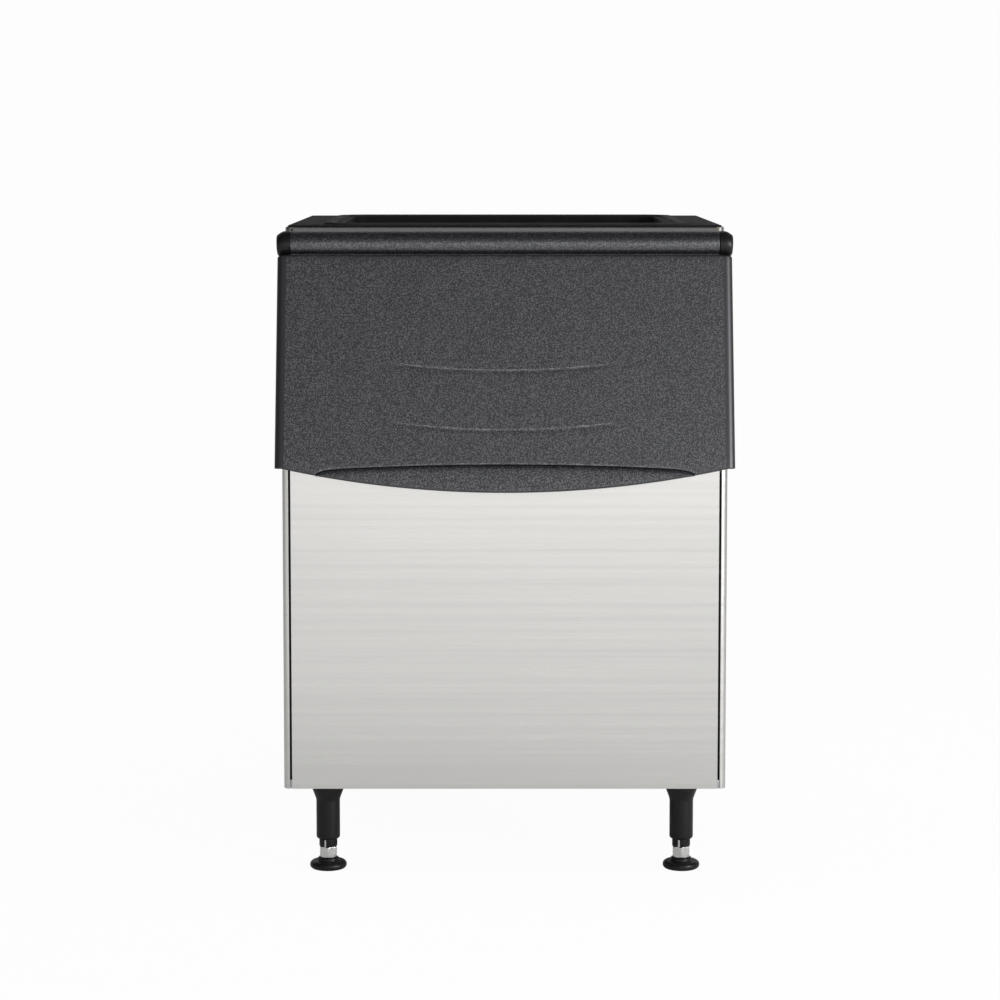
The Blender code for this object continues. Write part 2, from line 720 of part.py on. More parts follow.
def door_inside(hinge):
    liner_face = DOOR_BACK - DOOR_LINER_WALL
    outline = cavity_outline(GAP)
    bm = extruded(outline, "Y", DOOR_WALL + GAP - ROLL_RADIUS, liner_face - GAP)
    add_piece("door_foam", bm, "foam", hinge)
    bm = extruded(outline, "Y", liner_face, DOOR_BACK)
    add_piece("door_liner", bm, "liner_plastic", hinge)


def door_seal(hinge):
    inner = OPENING_HALF + SEAL_MARGIN
    low = OPENING_LOW - SEAL_MARGIN - HINGE_RISE
    high = OPENING_HIGH + SEAL_MARGIN - HINGE_RISE
    radius = OPENING_RADIUS + SEAL_MARGIN
    outer = rounded_rectangle(
        (-inner - SEAL_WIDTH, low - SEAL_WIDTH),
        (inner + SEAL_WIDTH, high + SEAL_WIDTH),
        radius + SEAL_WIDTH,
    )
    near = DOOR_BACK + GAP
    far = HINGE_STAND_OFF - GAP
    seal = add_piece("door_seal", extruded(outer, "Y", near, far), "rubber", hinge)
    hole = rounded_rectangle((-inner, low), (inner, high), radius)
    cut(seal, extruded(hole, "Y", near - OVERRUN, far + OVERRUN), hinge)


def ear_holes():
    """World Y and Z of the two screws that hold each hinge bracket to the cabinet's side."""
    back = HINGE_STAND_OFF - EAR_REACH
    return [on_face(HINGE_RISE, back), on_face(HINGE_RISE, back + SCREW_SPACING)]


def hinge_bracket(name, side, axis):
    """A capped boss in line with the door's roll, and an ear that screws to the cabinet's side."""
    rings = []
    for inward, size, rise in CAP_SHARES:
        x = side * (BRACKET_OUTER - inward * BRACKET_WIDTH)
        centre = (0, rise * ROLL_RADIUS)
        rings.append([(x, y, z) for y, z in circle(size * ROLL_RADIUS, FINE_SIDES, centre)])
    bracket = add_piece(name, loft(rings), "black_plastic", axis)
    slope = math.asin((EAR_RADIUS - EAR_TIP_RADIUS) / EAR_REACH)
    right = math.pi / 2 - slope
    outline = arc((EAR_REACH, 0), EAR_TIP_RADIUS, -right, right, CORNER_STEPS * 2)
    outline += arc((0, 0), EAR_RADIUS, right, math.tau - right, CORNER_STEPS * 3)
    near = HALF_WIDTH + GAP
    reach = sorted((side * near, side * (near + EAR_THICKNESS)))
    join(bracket, extruded(outline, "X", *reach), axis)
    seat = sorted((side * (BRACKET_INNER - OVERRUN), side * (BRACKET_INNER + PIN_SEAT + GAP)))
    cut(bracket, rod(PIN_RADIUS + GAP, "X", *seat, sides=ROUND_SIDES), axis)
    holes = bmesh.new()
    through = sorted((side * (near - OVERRUN), side * (near + EAR_THICKNESS + OVERRUN)))
    for back in (EAR_REACH, EAR_REACH - SCREW_SPACING):
        rod(SCREW_RADIUS + GAP, "X", *through, centre=(back, 0), bm=holes)
    cut(bracket, holes, axis)


def hinge_pin(name, side, axis):
    inner = ROLL_HALF - BUSH_LENGTH
    reach = sorted((side * inner, side * (BRACKET_INNER + PIN_SEAT)))
    add_piece(name, rod(PIN_RADIUS, "X", *reach, sides=ROUND_SIDES), "stainless", axis)


def hinge_bush(name, side, hinge):
    bore = PIN_RADIUS + GAP
    profile = [
        (bore, ROLL_HALF - BUSH_LENGTH),
        (BUSH_RADIUS, ROLL_HALF - BUSH_LENGTH),
        (BUSH_RADIUS, ROLL_HALF + GAP),
        (BUSH_FLANGE_RADIUS, ROLL_HALF + GAP),
        (BUSH_FLANGE_RADIUS, ROLL_HALF + GAP + BUSH_FLANGE),
        (bore, ROLL_HALF + GAP + BUSH_FLANGE),
    ]
    placed = [(radius, side * x) for radius, x in profile]
    add_piece(name, turned(placed, closed=True, axis="X"), "nylon", hinge)


def hinge_screw(name, side, height, depth):
    """A pan-head screw through the bracket's ear, with its head outside."""
    face = HALF_WIDTH + GAP + EAR_THICKNESS + GAP
    tip = HALF_WIDTH - SCREW_LENGTH
    profile = [
        (SCREW_RADIUS, tip),
        (SCREW_RADIUS, face),
        (SCREW_HEAD_RADIUS, face),
        (SCREW_HEAD_RADIUS, face + SCREW_HEAD_HEIGHT / 2),
        (SCREW_HEAD_RADIUS * SCREW_CROWN_SHARE, face + SCREW_HEAD_HEIGHT),
    ]
    placed = [(radius, side * x) for radius, x in profile]
    bm = turned(placed, sides=SMALL_SIDES, axis="X")
    add_piece(name, bm, "stainless", location=(0, depth, height))


def leg_socket(name, x, y):
    plate_top = SOCKET_LOW + SOCKET_SHEET
    half = SOCKET_SIZE / 2
    bm = box((-half, -half, SOCKET_LOW), (half, half, plate_top))
    socket = add_piece(name, bm, "galvanised", location=(x, y, 0))
    boss = rod(SOCKET_BOSS_RADIUS, "Z", plate_top - SOCKET_SHEET / 2, SOCKET_TOP)
    join(socket, boss, location=(x, y, 0))
    bore_reach = (SOCKET_LOW - OVERRUN, SOCKET_TOP + OVERRUN)
    cut(socket, rod(STUD_RADIUS + GAP, "Z", *bore_reach), location=(x, y, 0))


def leg_sleeve(name, x, y):
    """A moulded leg: a top stud, a flared head, a round shoulder and a slotted collar."""
    top = CABINET_BASE - GAP
    shoulder = arc(
        (LEG_RADIUS - LEG_SHOULDER_ROUND, LEG_SHOULDER_HEIGHT),
        LEG_SHOULDER_ROUND,
        0,
        -math.pi / 2,
        CORNER_STEPS,
    )
    bore = STEM_RADIUS + GAP
    bore_top = STEM_TOP + STEM_HEADROOM
    profile = [
        (STUD_RADIUS, SOCKET_TOP),
        (STUD_RADIUS, top),
        (LEG_FLARE_RADIUS, top),
        (LEG_RADIUS, LEG_FLARE_LOW),
        *shoulder,
        (COLLAR_RADIUS, shoulder[-1][1]),
        (COLLAR_RADIUS, COLLAR_LOW),
        (bore, COLLAR_LOW),
        (bore, bore_top),
    ]
    sleeve = add_piece(name, turned(profile), "black_plastic", location=(x, y, 0))
    across = COLLAR_RADIUS + OVERRUN
    for turn in (SLOT_TURN, SLOT_TURN + math.pi / 2):
        low = (-across, -SLOT_WIDTH / 2, COLLAR_LOW - OVERRUN)
        high = (across, SLOT_WIDTH / 2, COLLAR_LOW + SLOT_HEIGHT)
        cutter = add_tool(name + "_slot", box(low, high), None, (x, y, 0))
        cutter.rotation_euler = (0, 0, turn)
        combine(sleeve, cutter, "DIFFERENCE")


def leg_stem(name, x, y):
    """The levelling stem: a threaded rod, a hexagon to turn it by and a foot set in the pad."""
    hex_top = COLLAR_LOW - GAP
    profile = [
        (STEM_FOOT_RADIUS, STEM_FOOT_LOW),
        (STEM_FOOT_RADIUS, (HEX_LOW + hex_top) / 2),
        (STEM_RADIUS, (HEX_LOW + hex_top) / 2),
        (STEM_RADIUS, STEM_TOP),
    ]
    stem = add_piece(name, turned(profile), "stainless", location=(x, y, 0))
    hexagon_outline = hexagon(HEX_FLATS, turn=math.pi / 2)
    join(stem, extruded(hexagon_outline, "Z", HEX_LOW, hex_top), location=(x, y, 0))


def foot_pad(name, x, y):
    """A round pad with a full-round rim and a raised hub with a blind seat for the stem."""
    rim = PAD_THICKNESS / 2
    rim_arc = arc((PAD_RADIUS - rim, rim), rim, -math.pi / 2, math.pi / 2, RIM_STEPS)
    hub_top = HEX_LOW - GAP
    hub_round = (hub_top - PAD_THICKNESS) / 2
    seat = STEM_FOOT_RADIUS + GAP
    seat_floor = STEM_FOOT_LOW - GAP
    profile = [
        *rim_arc,
        (HUB_RADIUS, PAD_THICKNESS),
        (HUB_RADIUS, hub_top - hub_round),
        (HUB_RADIUS - hub_round, hub_top),
        (seat, hub_top),
        (seat, seat_floor),
    ]
    add_piece(name, turned(profile), "black_plastic", location=(x, y, 0))


def drain():
    """A flanged outlet through the floor, its nut below and a strainer over its mouth."""
    flange_low = SUMP_HEIGHT + LINER_WALL + GAP
    tail = CABINET_BASE - DRAIN_TAIL
    profile = [
        (DRAIN_BORE, tail),
        (DRAIN_RADIUS, tail),
        (DRAIN_RADIUS, flange_low),
        (DRAIN_FLANGE_RADIUS, flange_low),
        (DRAIN_FLANGE_RADIUS, flange_low + DRAIN_FLANGE),
        (DRAIN_BORE, flange_low + DRAIN_FLANGE),
    ]
    where = (0, DRAIN_Y, 0)
    add_piece("drain_fitting", turned(profile, closed=True), "black_plastic", location=where)
    nut_top = CABINET_BASE - GAP
    nut_low = nut_top - DRAIN_NUT_HEIGHT
    bm = extruded(hexagon(DRAIN_NUT_FLATS), "Z", nut_low, nut_top)
    nut = add_piece("drain_nut", bm, "black_plastic", location=where)
    bore = rod(DRAIN_RADIUS + GAP, "Z", nut_low - OVERRUN, nut_top + OVERRUN, sides=ROUND_SIDES)
    cut(nut, bore, location=where)
    low = flange_low + DRAIN_FLANGE + GAP
    high = low + STRAINER_SHEET
    disc = rod(STRAINER_RADIUS, "Z", low, high, sides=ROUND_SIDES)
    strainer = add_piece("drain_strainer", disc, "stainless", location=where)
    reach = (low - OVERRUN, high + OVERRUN)
    holes = rod(STRAINER_HOLE, "Z", *reach, sides=HOLE_SIDES)
    for centre in circle(STRAINER_RING / 2, STRAINER_HOLES):
        rod(STRAINER_HOLE, "Z", *reach, centre=centre, sides=HOLE_SIDES, bm=holes)
    cut(strainer, holes, location=where)


def ice_baffle(face):
    """A hanging plate with a turned lower lip that holds ice back from the door opening."""
    near = FACE_INNER + GAP
    far = near + BAFFLE_SHEET
    outline = [
        (near, BAFFLE_HIGH),
        (near, BAFFLE_LOW),
        (near + BAFFLE_LIP, BAFFLE_LOW),
        (near + BAFFLE_LIP, BAFFLE_LOW + BAFFLE_SHEET),
        (far, BAFFLE_LOW + BAFFLE_SHEET),
        (far, BAFFLE_HIGH),
    ]
    bm = extruded(outline, "X", -BAFFLE_HALF, BAFFLE_HALF)
    baffle = add_piece("ice_baffle", bm, "stainless", face)
    holes = bmesh.new()
    for side in (-1, 1):
        centre = (side * KNOB_X, KNOB_RISE)
        rod(KNOB_STUD_RADIUS + GAP, "Y", near - OVERRUN, far + OVERRUN, centre=centre, bm=holes)
    cut(baffle, holes, face)


def baffle_knob(name, side, face):
    """A thumb knob whose stud passes the baffle and the liner."""
    seat = FACE_INNER + GAP + BAFFLE_SHEET + GAP
    tip = FACE_INNER - KNOB_STUD_LENGTH
    profile = [
        (KNOB_STUD_RADIUS, tip),
        (KNOB_STUD_RADIUS, seat),
        (KNOB_RADIUS, seat),
        (KNOB_RADIUS, seat + KNOB_HEIGHT * KNOB_EDGE_SHARE),
        (KNOB_RADIUS * KNOB_EDGE_SHARE, seat + KNOB_HEIGHT),
    ]
    bm = turned(profile, sides=ROUND_SIDES, axis="Y")
    add_piece(name, bm, "black_plastic", face, location=(side * KNOB_X, 0, KNOB_RISE))


def build():
    clear_scene()
    tilt = (-LEAN, 0, 0)
    face = add_empty("leaning_face", (0, FRONT, KNEE_HEIGHT), tilt)
    hinge_y, hinge_z = on_face(HINGE_RISE, HINGE_STAND_OFF)
    hinge = add_empty("door_hinge", (0, hinge_y, hinge_z), tilt)
    axis = add_empty("bracket_axis", (0, hinge_y, hinge_z), tilt)

    front_panel()
    header_panel()
    back_panel()
    bottom_panel()
    foam_insulation(face)
    liner(face)
    door_frame(face)
    top_frame()
    top_gasket()

    door_shell(hinge)
    door_inside(hinge)
    door_seal(hinge)

    for word, side in (("left", -1), ("right", 1)):
        side_panel(f"{word}_side_panel", side)
        hinge_bracket(f"hinge_bracket_{word}", side, axis)
        hinge_pin(f"hinge_pin_{word}", side, axis)
        hinge_bush(f"hinge_bush_{word}", side, hinge)
        for number, (y, z) in enumerate(ear_holes(), start=1):
            hinge_screw(f"hinge_screw_{word}_{number}", side, z, y)
        baffle_knob(f"baffle_knob_{word}", side, face)

    for word, x, y in leg_places():
        leg_socket(f"leg_socket_{word}", x, y)
        leg_sleeve(f"leg_sleeve_{word}", x, y)
        leg_stem(f"leg_stem_{word}", x, y)
        foot_pad(f"foot_pad_{word}", x, y)

    drain()
    ice_baffle(face)


build()
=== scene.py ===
import json
from math import asin, atan2, copysign, cos, exp, hypot, log, pi, radians, sin, sqrt, tan, tau

import bmesh
import bpy
from mathutils import Matrix, Vector


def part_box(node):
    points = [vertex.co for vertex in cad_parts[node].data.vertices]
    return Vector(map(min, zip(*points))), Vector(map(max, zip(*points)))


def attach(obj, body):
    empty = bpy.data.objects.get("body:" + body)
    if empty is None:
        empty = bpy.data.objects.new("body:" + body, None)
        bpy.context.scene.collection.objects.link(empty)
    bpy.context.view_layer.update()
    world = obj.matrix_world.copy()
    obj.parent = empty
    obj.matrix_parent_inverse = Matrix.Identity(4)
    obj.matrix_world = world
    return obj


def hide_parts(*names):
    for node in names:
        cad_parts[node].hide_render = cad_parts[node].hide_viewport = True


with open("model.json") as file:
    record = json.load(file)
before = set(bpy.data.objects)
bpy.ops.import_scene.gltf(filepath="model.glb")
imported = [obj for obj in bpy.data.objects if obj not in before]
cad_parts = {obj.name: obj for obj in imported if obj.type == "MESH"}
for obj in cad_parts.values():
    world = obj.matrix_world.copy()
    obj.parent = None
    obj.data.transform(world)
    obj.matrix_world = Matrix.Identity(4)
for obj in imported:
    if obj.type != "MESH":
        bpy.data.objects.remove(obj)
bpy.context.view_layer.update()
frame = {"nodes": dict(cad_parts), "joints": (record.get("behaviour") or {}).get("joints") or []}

MM = 0.001
FIXED = "cabinet"
SIDES = (("left", -1), ("right", 1))

# Places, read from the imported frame
PANEL_LOW, PANEL_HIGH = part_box("front_panel")
SIDE_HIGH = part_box("right_side_panel")[1]
HINGE = next(joint for joint in frame["joints"] if joint["name"] == "door_hinge")["pos_m"]
FRONT = PANEL_LOW.y
PANEL_HALF = PANEL_HIGH.x
HALF_WIDTH = SIDE_HIGH.x
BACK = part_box("back_panel")[1].y
BASE = PANEL_LOW.z
TOP = SIDE_HIGH.z
DOOR_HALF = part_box("door_shell")[1].x
SOCKET_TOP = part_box("leg_socket_front_left")[1].z
LEG_WORDS = ("front_left", "front_right", "rear_left", "rear_right")
LEG_PLACES = {word: (sum(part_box("foot_pad_" + word), Vector()) / 2).xy for word in LEG_WORDS}

# Sheets, walls and fits
STEEL = 0.001
PAN_SHEET = 0.0015
CORNER_RADIUS = 0.012
SEAM_TRIM = 0.0012
SEAM_TURN = 0.13
SEAM_DEPTH = 0.006
SEAM_WIDTH = 0.006
INSULATION = 0.050
LINER_WALL = 0.003
LINER_FLANGE = 0.015
FRAME_WALL = 0.003
FACE_INNER = INSULATION + LINER_WALL
GAP = 0.0003
FLANGE = 0.015
CUT_OVERRUN = 0.008
SHEET_BEND = 0.0012
KNEE_BEND = 0.006
SHEET_EDGE = 0.00025

# The leaning face, measured up from the knee
KNEE_HEIGHT = 0.718
LEAN_DEPTH = 0.116
LEAN = atan2(LEAN_DEPTH, TOP - KNEE_HEIGHT)
FACE_LENGTH = hypot(LEAN_DEPTH, TOP - KNEE_HEIGHT)
FRONT_FOLD = 0.014
HEADER_LOW = FACE_LENGTH - 0.0459
HEADER_FOLD = 0.024
OPENING_LOW = 0.045
OPENING_HIGH = FACE_LENGTH - 0.0879
OPENING_HALF = 0.300
OPENING_RADIUS = 0.022
FACE_PLACE = Matrix.Translation((0, FRONT, KNEE_HEIGHT)) @ Matrix.Rotation(-LEAN, 4, "X")

# Top
TOP_INSET = 0.004
TOP_UNDERSIDE = TOP + GAP
TOP_FACE = TOP_UNDERSIDE + FRAME_WALL
DROP_HALF = 0.290
DROP_FRONT = 0.190
DROP_BACK_MARGIN = 0.066
DROP_RADIUS = 0.026
DROP_SKIRT = 0.040
GASKET_MARGIN = 0.012
GASKET_WIDTH = 0.018
GASKET_HEIGHT = 0.0025

# Storage space
FLOOR_FALL = 0.030
SUMP_DEPTH = 0.120
SUMP_HEIGHT = BASE + INSULATION
TUB_RADIUS = 0.022
TUB_COVE = 0.020

# Hinge; the cap's outline is given as shares of its length and of the roll's radius
HINGE_RISE = FACE_LENGTH - 0.0357
HINGE_STAND_OFF = 0.0245
HINGE_PLACE = Matrix.Translation(HINGE) @ Matrix.Rotation(-LEAN, 4, "X")
BRACKET_WIDTH = 0.0225
BRACKET_OUTER = HALF_WIDTH + 0.012
CAP_STATIONS = 22
CAP_LOW = ((0.0, -0.275), (0.02, -0.55), (0.05, -0.75), (0.1, -0.88))
CAP_LOW += ((0.17, -0.96), (0.3, -0.99), (0.5, -1.0), (1.0, -1.0))
CAP_HIGH = ((0.0, 0.585), (0.02, 0.64), (0.06, 0.69), (0.17, 0.77), (0.3, 0.86))
CAP_HIGH += ((0.45, 0.95), (0.6, 0.99), (0.75, 1.0), (1.0, 1.0))
CAP_EDGE = 0.0006
CAP_EDGE_SHARE = 0.97
EAR_THICKNESS = 0.006
EAR_EDGE = 0.0016
EAR_REACH = 0.062
EAR_RADIUS = 0.015
EAR_TIP_RADIUS = 0.013

# Screws
SCREW_RADIUS = 0.0025
SCREW_LENGTH = 0.014
SCREW_HEAD_RADIUS = 0.0052
SCREW_HEAD_HEIGHT = 0.0026
SCREW_SPACING = 0.022
SCREW_TURNS = (0.35, 1.1)
BACK_SCREW_RADIUS = 0.0016
BACK_SCREW_LENGTH = 0.006
BACK_SCREW_HEAD_RADIUS = 0.0034
BACK_SCREW_HEAD_HEIGHT = 0.0016
BACK_SCREWS = 5
BACK_SCREW_INSET = 0.0075
BACK_SCREW_MARGIN = 0.040
BACK_SCREW_TURN = 0.7


def bow_radius(half, sag):
    """The radius of an arc with a half width and a sag."""
    return (half**2 + sag**2) / (2 * sag)


# Door, measured from the hinge axis
ROLL_RADIUS = 0.0222
ROLL_HALF = 0.3685
ROLL_END_ROUND = 0.0012
ROLL_END = ((0.0, 0.5), (0.3, 0.075), (1.0, 0.0))
ROLL_STEPS = 24
DOOR_TOP = 0.0242
DOOR_DROP = 0.4375
DOOR_SAG = 0.0435
DOOR_BACK = 0.0178
DOOR_UNDERCUT = 0.010
DOOR_EDGE = 0.012
DOOR_TOP_EDGE = 0.004
DOOR_LOW_EDGE = 0.003
DOOR_BELLY = 0.0004
DOOR_BELLY_HEIGHT = 0.035
DOOR_CORNER = 0.014
DOOR_WALL = 0.004
DOOR_LINER_WALL = 0.003
BACK_ROUND = 0.0015
NECK_FRONT = 0.009
ARC_RADIUS = bow_radius(DOOR_HALF, DOOR_SAG)
HOLLOW_HALF = DOOR_HALF - DOOR_WALL
HOLLOW_RADIUS = bow_radius(HOLLOW_HALF, DOOR_SAG)
HOLLOW_CENTRE = HOLLOW_RADIUS - DOOR_DROP + 0.05818
SMOOTH_BORDER = 0.014
SMOOTH_FADE = 0.003
ARC_BORDER = 0.0034
SEAL_MARGIN = 0.008
SEAL_WIDTH = 0.014
PAN_FIELD_MARGIN = 0.012
PAN_FIELD_SLOPE = 0.006
PAN_FIELD_RISE = 0.0028

# The finger pull's scoop
SCOOP_TIP = 0.3205
SCOOP_HEIGHT = 0.0484
SCOOP_SAG = 0.0097
SCOOP_END_POWER = 30
SCOOP_DEPTH = 0.0065
SCOOP_FLOOR = 0.0016
SCOOP_FILLET = 0.0028
SCOOP_ROUND = 0.0022
SCOOP_ROUND_DROP = 0.00035

# The door's creases; the profile gives places down across a crease, in widths, and shares of its depth
CREASE_HALF = 0.208
CREASE_DEPTH = 0.00045
CREASE_WIDTH = 0.0034
CREASE_RADIUS = bow_radius(CREASE_HALF, 0.015)
CREASE_DROPS = (0.228, 0.331)
CREASE_RUN_OUT = 0.05
CREASE_PROFILE = ((-0.75, 0.0), (-0.4, 0.5), (-0.05, 1.0), (0.6, 0.82), (1.2, 0.45), (1.8, 0.15), (2.4, 0.0))

# Rows and columns of the door's face
FACE_COLUMNS = 60
SCOOP_COLUMNS = (-0.3, 0.05, 0.6, 1.3, 2.2, 3.4, 5.0, 7.5, 10.5, 14.0)
ROWS_ABOVE_CREASES = (26, 14)
ROWS_ABOVE_LIP, FIRST_ABOVE_LIP = 14, 0.0006
ROWS_BELOW_LIP, FIRST_BELOW_LIP = 18, 0.00035
SIDE_STEPS, TOP_STEPS, LOW_STEPS = 8, 8, 10

# Legs
LEG_FLARE_RADIUS = 0.0272
LEG_FLARE_EDGE = 0.0012
LEG_FLARE_HIGH = 0.141
LEG_FLARE_LOW = 0.1235
LEG_RADIUS = 0.0206
LEG_SHOULDER_HEIGHT = 0.058
LEG_SHOULDER_ROUND = 0.0048
COLLAR_RADIUS = 0.0157
COLLAR_LOW = 0.040
SLOT_WIDTH = 0.0045
SLOT_TURN = radians(-20)
STUD_RADIUS = 0.006
STEM_RADIUS = 0.008
STEM_TOP = 0.100
STEM_HEADROOM = 0.006
STEM_THREAD = 0.036
SHANK_RADIUS = 0.0137
SHANK_TOP = 0.0515
STEM_FOOT_RADIUS = 0.010
STEM_FOOT_LOW = 0.008
THREAD_PITCH = 0.0015
THREAD_DEPTH = 0.0007
THREAD_RINGS = 6
HEX_FLATS = 0.0283
HEX_LOW = 0.0205
HEX_CHAMFER = radians(30)
HEX_CHAMFER_SHARE = 0.045
HEX_FACE_SHARE = 0.97
PAD_RADIUS = 0.0322
PAD_THICKNESS = 0.014
HUB_RADIUS = 0.0185
GRIP_WIDTH = 0.004
GRIP_DEPTH = 0.0008
GRIP_RINGS = 6

# Drain
DRAIN_Y = BACK - INSULATION - SUMP_DEPTH / 2
DRAIN_RADIUS = 0.0125
DRAIN_BORE = 0.0095
DRAIN_FLANGE_RADIUS = 0.024
DRAIN_FLANGE = 0.003
DRAIN_TAIL = 0.026
DRAIN_THREAD = 0.0009
DRAIN_NUT_FLATS = 0.038
DRAIN_NUT_HEIGHT = 0.010
STRAINER_RADIUS = 0.022
STRAINER_SHEET = 0.0015
STRAINER_HOLE = 0.0022
STRAINER_RING = 0.0125
STRAINER_HOLES = 8

# Ice baffle
BAFFLE_SHEET = 0.0015
BAFFLE_HALF = 0.285
BAFFLE_HIGH = OPENING_HIGH + 0.046
BAFFLE_LOW = BAFFLE_HIGH - 0.171
BAFFLE_LIP = 0.014
KNOB_X = 0.225
KNOB_RISE = BAFFLE_HIGH - 0.022
KNOB_RADIUS = 0.012
KNOB_HEIGHT = 0.011
KNOB_STUD_RADIUS = 0.003
KNOB_STUD_LENGTH = 0.012
KNOB_FLUTE = 0.0011
KNOB_FLUTES = 12

# Colours
WHITE = (0.98, 0.98, 0.98)
STEEL_COLOUR = (0.59, 0.583, 0.568)
BRIGHT_COLOUR = (0.66, 0.655, 0.64)
CHARCOAL_COLOUR = (0.0138, 0.0140, 0.0172)
BLACK_COLOUR = (0.006, 0.006, 0.0065)
DECK_COLOUR = (0.0105, 0.0100, 0.0104)
LINER_COLOUR = (0.70, 0.71, 0.71)
FOAM_COLOUR = (0.80, 0.72, 0.50)
RUBBER_COLOUR = (0.018, 0.018, 0.018)
NYLON_COLOUR = (0.80, 0.79, 0.75)
ZINC_COLOUR = (0.50, 0.52, 0.53)
FLOOR_COLOUR = (0.72, 0.72, 0.72)

# Studio
FLOOR_HALF = 12.0
FLOOR_OUTLINE = ((-9.0, 0.0, 0), (6.0, 0.0, 2.0), (6.0, 9.0, 0))
SOFTBOXES = (
    ("front_softbox", (1.1, -7.0, 1.6), (0, 0, 0.9), (5.0, 2.5), 1.5),
    ("right_softbox", (4.5, -3.9, 1.6), (0, -0.1, 0.9), (2.2, 1.6), 28.0),
    ("left_softbox", (-4.2, -3.6, 1.5), (0, -0.1, 0.8), (1.4, 1.6), 0.5),
)
IMAGE_SIZE = 1000
FOCAL_PIXELS = 2946.5
AXIS_ROW = 420
CAMERA_PITCH = 0.09471
CAMERA_PLACE = (-0.00825, FRONT - 5.0, 1.27)
SENSOR_WIDTH = 36.0


# Helpers for node trees


def link(value, socket):
    value.id_data.links.new(value, socket)


def add_node(tree, kind, inputs=None, **settings):
    """The outputs of a new shader node, whose inputs are given as values or as outputs of other nodes."""
    made = tree.nodes.new("ShaderNode" + kind)
    for name, value in settings.items():
        setattr(made, name, value)
    for name, value in (inputs or {}).items():
        if isinstance(value, bpy.types.NodeSocket):
            link(value, made.inputs[name])
        else:
            made.inputs[name].default_value = value
    return made.outputs


def maths(operation, first, second=0.0, clamp=False):
    tree = (first if isinstance(first, bpy.types.NodeSocket) else second).id_data
    return add_node(tree, "Math", {0: first, 1: second}, operation=operation, use_clamp=clamp)[0]


def plus(first, second, clamp=False):
    return maths("ADD", first, second, clamp)


def times(first, second, clamp=False):
    return maths("MULTIPLY", first, second, clamp)


def remap(value, low, high, to_low=0.0, to_high=1.0):
    inputs = {"Value": value, "From Min": low, "From Max": high, "To Min": to_low, "To Max": to_high}
    return add_node(value.id_data, "MapRange", inputs, interpolation_type="SMOOTHSTEP")["Result"]


def object_position(tree):
    return add_node(tree, "TexCoord")["Object"]


def noise(position, scale, detail=2.0, roughness=0.5):
    inputs = {"Vector": position, "Scale": scale, "Detail": detail, "Roughness": roughness}
    return add_node(position.id_data, "TexNoise", inputs)["Fac"]


def new_group(name, inputs, outputs):
    """An empty shader group with named float inputs and outputs, and its two end nodes' sockets."""
    tree = bpy.data.node_groups.new(name, "ShaderNodeTree")
    for socket, value in inputs.items():
        tree.interface.new_socket(socket, in_out="INPUT", socket_type="NodeSocketFloat").default_value = value
    for socket in outputs:
        tree.interface.new_socket(socket, in_out="OUTPUT", socket_type="NodeSocketFloat")
    return tree, tree.nodes.new("NodeGroupInput").outputs, tree.nodes.new("NodeGroupOutput").inputs


# Shared effects


def pebble_group():
    """Moulded pebble grain: small uneven domes over a fine rolling ground."""
    tree, given, result = new_group("pebble_grain", {"Cell Scale": 520.0, "Ground Scale": 430.0}, ("Height",))
    position = object_position(tree)
    cells = add_node(tree, "TexVoronoi", {"Vector": position, "Scale": given["Cell Scale"]})
    uneven = add_node(tree, "SeparateColor", {0: cells["Color"]})[0]
    domes = times(remap(cells["Distance"], 0.8, 0.1), plus(0.4, times(uneven, 0.25)))
    ground = remap(noise(position, given["Ground Scale"], 0.0), 0.32, 0.68, 0.0, 0.45)
    link(plus(domes, ground), result["Height"])
    return tree


def brushing_group():
    """Long level scratches of a brushed sheet."""
    inputs = {"Scratch Scale": 900.0, "Length Share": 0.006}
    tree, given, result = new_group("brushing", inputs, ("Height", "Streak"))
    axes = add_node(tree, "SeparateXYZ", {0: object_position(tree)})
    along = times(given["Scratch Scale"], given["Length Share"])
    scales = (along, along, given["Scratch Scale"])
    stretched = {i: times(axes[i], scale) for i, scale in enumerate(scales)}
    stretched = add_node(tree, "CombineXYZ", stretched)[0]
    scratches = noise(stretched, 1.0, 3.0, 0.65)
    broad = noise(stretched, 0.12, 2.0, 0.5)
    link(scratches, result["Height"])
    link(plus(times(scratches, 0.5), times(broad, 0.5)), result["Streak"])
    return tree


def edge_group():
    """Where a face turns into another within a small radius: 1 on edges and 0 on flats."""
    tree, given, result = new_group("edge_mask", {"Radius": 0.0015, "Contrast": 3.0}, ("Edge",))
    rounded_normal = add_node(tree, "Bevel", {"Radius": given["Radius"]}, samples=4)["Normal"]
    flat_normal = add_node(tree, "NewGeometry")["Normal"]
    normals = {0: rounded_normal, 1: flat_normal}
    alike = add_node(tree, "VectorMath", normals, operation="DOT_PRODUCT")["Value"]
    link(times(maths("SUBTRACT", 1.0, alike), given["Contrast"], clamp=True), result["Edge"])
    return tree


def marks_group():
    """Cloudy handling marks and a little dust, for roughness and tone."""
    tree, given, result = new_group("handling_marks", {"Scale": 7.0, "Strength": 1.0}, ("Mark",))
    clouds = noise(object_position(tree), given["Scale"], 4.0, 0.62)
    link(times(remap(clouds, 0.42, 0.72), given["Strength"], clamp=True), result["Mark"])
    return tree


PEBBLES = pebble_group()
BRUSHING = brushing_group()
EDGES = edge_group()
MARKS = marks_group()


# Used to lighten base colours along rounded edges: a painted highlight.
def edges(tree, radius):
    return add_node(tree, "Group", {"Radius": radius}, node_tree=EDGES)["Edge"]


def marks(tree, scale, strength=1.0):
    return add_node(tree, "Group", {"Scale": scale, "Strength": strength}, node_tree=MARKS)["Mark"]


# Materials


